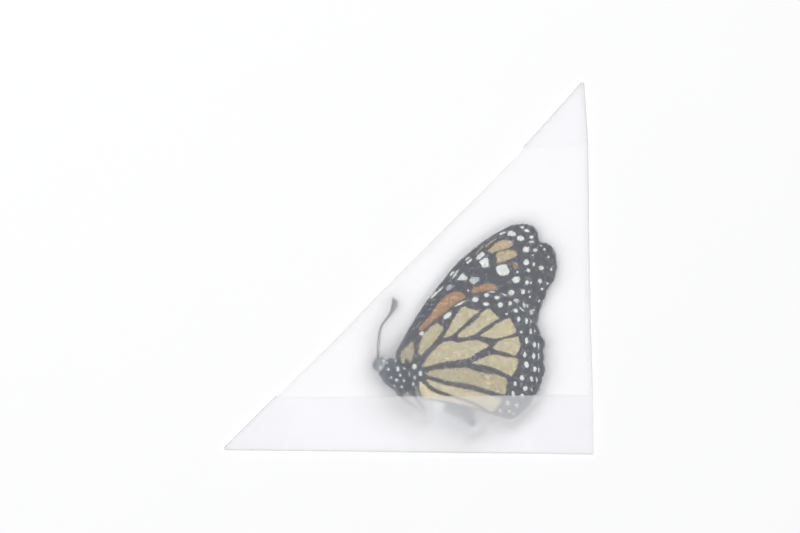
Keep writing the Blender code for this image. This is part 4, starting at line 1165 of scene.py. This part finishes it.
def layerGrid(insets):  # row k runs from the long fold to the right leg, and the rows rise to the apex
    count, strip = paperSettings["gridCount"], paperSettings["stripCount"]
    longIn, rightIn, bottomIn = insets
    tip, apex, corner, middle = paperCorners()
    leg = toMm(paperSettings["rightLeg"])
    longLine, bottomLine = edgeLine(tip, apex, middle), edgeLine(tip, corner, middle)
    tipIn = meetLines(longLine, longIn, bottomLine, bottomIn)
    cornerIn = meetLines(edgeLine(leg[0], leg[1], middle), rightIn, bottomLine, bottomIn)
    apexIn = meetLines(longLine, longIn, edgeLine(leg[-2], leg[-1], middle), rightIn)
    legIn = leg + np.array([-1.0, 0.0]) * rightIn
    legIn[0], legIn[-1] = cornerIn, apexIn
    order = np.argsort(legIn[:, 1])
    flapLeft, flapRight = toMm([paperSettings["flapLeft"]])[0], toMm([paperSettings["flapRight"]])[0]
    leftShare = np.linalg.norm(flapLeft - tip) / np.linalg.norm(apex - tip)
    bow = np.array(paperSettings["longBow"], dtype=float)
    grid = np.zeros((count + 1, count + 1, 2))
    for k in range(count + 1):
        if k <= strip:
            share = leftShare * k / strip
            y = cornerIn[1] + (flapRight[1] - cornerIn[1]) * k / strip
        else:
            up = (k - strip) / (count - strip)
            share = leftShare + (1 - leftShare) * up
            y = flapRight[1] + (apexIn[1] - flapRight[1]) * up
        inward = longLine[2] * np.interp(share, bow[:, 0], bow[:, 1]) * picture["mmPerPixel"]
        left = tipIn + (apexIn - tipIn) * share + inward
        right = np.array([np.interp(y, legIn[order, 1], legIn[order, 0]), y])
        if k == count:
            left = right = apexIn
        for m in range(k, count + 1):
            t = (m - k) / (count - k) if k < count else 0.0
            grid[m, k] = left + (right - left) * t
    return grid


def edgeSwell():  # 0 by both corners, 1 in the middle of a fold
    count, strip = paperSettings["gridCount"], paperSettings["stripCount"]
    inner = (np.linspace(0, 1, count + 1) - strip / count) / (1 - 2 * strip / count)
    return np.sin(math.pi * np.clip(inner, 0, 1)) ** 2


neighbourMoves = ((1, 0), (-1, 0), (0, 1), (0, -1), (1, 1), (-1, -1))


def drapeFront(grid):  # the front panel pulled down over the butterfly and pressed on it
    count = paperSettings["gridCount"]
    x, y = grid[..., 0], grid[..., 1]
    floor = np.full(x.shape, -1.0)
    for radius in (0.0, 0.5 * paperSettings["reach"], paperSettings["reach"]):
        for a in np.linspace(0, 2 * math.pi, 12, endpoint=False):
            floor = np.maximum(floor, contentsTop(x + radius * math.cos(a), y + radius * math.sin(a)))
    base = paperSettings["thickness"] / 2 + 2 * paperSettings["layerStep"]
    floor = np.maximum(floor + paperSettings["gap"] + paperSettings["thickness"] / 2, base)
    m, k = np.meshgrid(np.arange(count + 1), np.arange(count + 1), indexing="ij")
    free = (m > k) & (k != 0) & (m != count)
    z = np.zeros(x.shape)
    swell = paperSettings["swell"]
    z[m == k] = base + swell["long"] * edgeSwell()
    z[:, 0] = base + swell["bottom"] * edgeSwell()
    z[count, :] = base + swell["right"] * edgeSwell()
    under = np.clip((paperSettings["stripCount"] + 5 - k) / 7, 0, 1)
    load = paperSettings["load"] * (1 + 0.5 * wave(x, y, 26.0, 31)) * (1 - paperSettings["flapEase"] * under)
    for _ in range(paperSettings["drapeRounds"]):
        near = np.zeros(x.shape)
        for move in neighbourMoves:
            near += np.roll(z, move, axis=(0, 1))
        z = np.where(free, np.maximum(near / 6 - load, floor), z)
    return z


class foldedSheet:  # the middle surface of the folded paper
    def __init__(self):
        self.points, self.faces, self.foldShade = [], [], []

    def panel(self, grid, z, keep, up):
        count = grid.shape[0] - 1
        ids = {}
        for k in range(count + 1):
            for m in range(k, count + 1):
                if keep(m, k):
                    ids[m, k] = len(self.points)
                    self.points.append((grid[m, k, 0], grid[m, k, 1], z[m, k]))
                    self.foldShade.append(0.0)
        for k in range(count):
            for m in range(k, count):
                for tri in (((m, k), (m + 1, k), (m + 1, k + 1)), ((m, k), (m + 1, k + 1), (m, k + 1))):
                    if all(v in ids for v in tri):
                        numbers = [ids[v] for v in tri]
                        self.faces.append(numbers if up else numbers[::-1])
        return ids

    def fold(self, low, high, outward, bulge, wearAndFoldShade):
        steps = paperSettings["foldSteps"]
        side = np.array([outward[0], outward[1], 0.0])
        rows = []
        for i, (a, b) in enumerate(zip(low, high)):
            pa, pb = np.array(self.points[a]), np.array(self.points[b])
            middle, half = (pa + pb) / 2, (pb - pa) / 2
            row = [a]
            for s in range(1, steps + 1):
                angle = -math.pi / 2 + math.pi * s / (steps + 1)
                row.append(len(self.points))
                self.points.append(tuple(middle + half * math.sin(angle) + side * bulge[i] * math.cos(angle)))
                # each fold point keeps its painted shade amount for the paper's material
                self.foldShade.append(wearAndFoldShade[i])
            rows.append(row + [b])
        for r0, r1 in zip(rows, rows[1:]):
            for j in range(len(r0) - 1):
                quad = [r0[j], r1[j], r1[j + 1], r0[j + 1]]
                p = [np.array(self.points[v]) for v in quad]
                if np.cross(p[2] - p[0], p[3] - p[1]) @ side < 0:
                    quad.reverse()
                self.faces.append([quad[0], quad[1], quad[2]])
                self.faces.append([quad[0], quad[2], quad[3]])

    def solid(self, thickness):
        pts, faces = np.array(self.points), np.array(self.faces)
        normal = np.zeros_like(pts)
        faceNormal = np.cross(pts[faces[:, 1]] - pts[faces[:, 0]], pts[faces[:, 2]] - pts[faces[:, 0]])
        for j in range(3):
            np.add.at(normal, faces[:, j], faceNormal)
        normal /= np.linalg.norm(normal, axis=1)[:, None]
        return closePlate(pts + normal * thickness / 2, pts - normal * thickness / 2, faces)


def buildEnvelope():
    count, strip = paperSettings["gridCount"], paperSettings["stripCount"]
    grids = {name: layerGrid(insets) for name, insets in paperSettings["insets"].items()}
    frontZ = drapeFront(grids["front"])
    m, k = np.meshgrid(np.arange(count + 1), np.arange(count + 1), indexing="ij")
    ground = np.full(m.shape, paperSettings["thickness"] / 2)
    slack = paperSettings["flapMargin"]
    overFlap = (m >= count - strip - slack) | (m <= strip + slack)
    backZ = np.where(overFlap, ground + paperSettings["layerStep"], ground)
    around = [np.roll(frontZ, move, axis=(0, 1)) for move in neighbourMoves]
    steep = np.clip(np.max(around, axis=0) - frontZ, 0, 1)
    inner = (m > k + 1) & (k > 0) & (m < count)
    upperZ = frontZ + paperSettings["layerStep"] + 0.5 * np.where(inner, steep, 0)
    sheet = foldedSheet()
    back = sheet.panel(grids["back"], backZ, lambda a, b: True, False)
    front = sheet.panel(grids["front"], frontZ, lambda a, b: True, True)
    flap = sheet.panel(grids["frontFlap"], upperZ, lambda a, b: b <= strip, True)
    tuck = sheet.panel(grids["frontTab"], ground, lambda a, b: a <= strip, False)
    rear = sheet.panel(grids["backFlap"], ground, lambda a, b: a >= count - strip, False)
    tab = sheet.panel(grids["backTab"], upperZ, lambda a, b: b >= count - strip, True)
    tip, apex, corner, middle = paperCorners()
    longOut = -edgeLine(tip, apex, middle)[2]
    bottomOut = -edgeLine(tip, corner, middle)[2]
    rightOut = -edgeLine(corner, apex, middle)[2]
    every, ends, tops = range(count + 1), range(strip + 1), range(count - strip, count + 1)
    same, tight = np.full(count + 1, paperSettings["bulge"]), np.ones(count + 1)
    # painted shade along the right fold, darkest towards the apex
    upper = 0.3 + 0.7 * np.clip(np.linspace(-1.5, 1.5, count + 1), 0, 1)
    # painted shade along the flap's free edge, standing in for the shadow of that edge
    for k in range(strip, count + 1):
        sheet.foldShade[flap[k, strip]] = 0.6
    plump = paperSettings["longBulge"][0] + paperSettings["longBulge"][1] * edgeSwell()
    # the last argument of each fold is its painted shade: the long fold darkest by both corners, the bottom
    # fold light, the tucked folds full
    sheet.fold([back[i, i] for i in every], [front[i, i] for i in every], longOut, plump,
               1 - 0.9 * edgeSwell())
    sheet.fold([back[i, 0] for i in every], [flap[i, 0] for i in every], bottomOut, same, 0.35 * tight)
    sheet.fold([rear[count, i] for i in every], [front[count, i] for i in every], rightOut, same, upper)
    sheet.fold([tuck[i, i] for i in ends], [flap[i, i] for i in ends], longOut, same, tight)
    sheet.fold([rear[i, i] for i in tops], [tab[i, i] for i in tops], longOut, same, tight)
    points, faces = sheet.solid(paperSettings["thickness"])
    plain = buildPaperMaterial("glassine", paperSettings["clear"], paperSettings["milk"])
    milky = buildPaperMaterial("glassine flap", paperSettings["flapClear"], paperSettings["flapMilk"])
    values = {"foldShade": np.tile(sheet.foldShade, 2)}
    piece = makePiece("glassine_sheet", points, faces, plain, values, 60)
    piece.data.materials.append(milky)
    own = np.zeros(len(points), dtype=bool)
    numbers = np.array(list(flap.values()))
    own[numbers] = own[numbers + len(points) // 2] = True
    for face in piece.data.polygons:
        face.material_index = int(all(own[v] for v in face.vertices))
    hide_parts("glassine_envelope")


buildEnvelope()
print("envelope built")

# Floor and light
lightSettings = {"world": 0.345, "key": 21.4, "keySize": 1.0, "keyPlace": (-0.18, 0.23, 1.55),
                 "worldColour": (0.985, 0.99, 1.0, 1), "floor": (0.90, 0.90, 0.905, 1), "floorHalf": 3.0,
                 "floorDrop": 0.0001}


def setStage():
    mesh = bpy.data.meshes.new("floor")
    half, drop = lightSettings["floorHalf"], lightSettings["floorDrop"]
    corners = [(x, y, -drop) for x, y in ((-half, -half), (half, -half), (half, half), (-half, half))]
    mesh.from_pydata(corners, [], [(0, 1, 2, 3)])
    made, tree, shader, place = newMaterial("floor card")
    low = tuple(c * 0.992 for c in lightSettings["floor"][:3]) + (1,)
    card = blend2(tree, noiseOf(tree, place, 30.0, 4.0), low, lightSettings["floor"])
    setSockets(tree, shader, {"Base Color": card, "Roughness": 0.9, "Specular IOR Level": 0.1})
    mesh.materials.append(made)
    floor = bpy.data.objects.new("floor", mesh)
    scene.collection.objects.link(floor)
    world = bpy.data.worlds.new("studio")
    world.use_nodes = True
    background = world.node_tree.nodes["Background"]
    setSockets(world.node_tree, background, {"Color": lightSettings["worldColour"],
                                             "Strength": lightSettings["world"]})
    scene.world = world
    data = bpy.data.lights.new("softbox", "AREA")
    data.energy = lightSettings["key"]
    data.size = lightSettings["keySize"]
    lamp = bpy.data.objects.new("softbox", data)
    lamp.location = lightSettings["keyPlace"]
    lamp.rotation_euler = (-Vector(lightSettings["keyPlace"])).to_track_quat("-Z", "Y").to_euler()
    scene.collection.objects.link(lamp)
    scene.cycles.max_bounces = 28
    scene.cycles.transmission_bounces = 24
    scene.cycles.transparent_max_bounces = 32
    scene.cycles.diffuse_bounces = 20


setStage()
print("stage set")
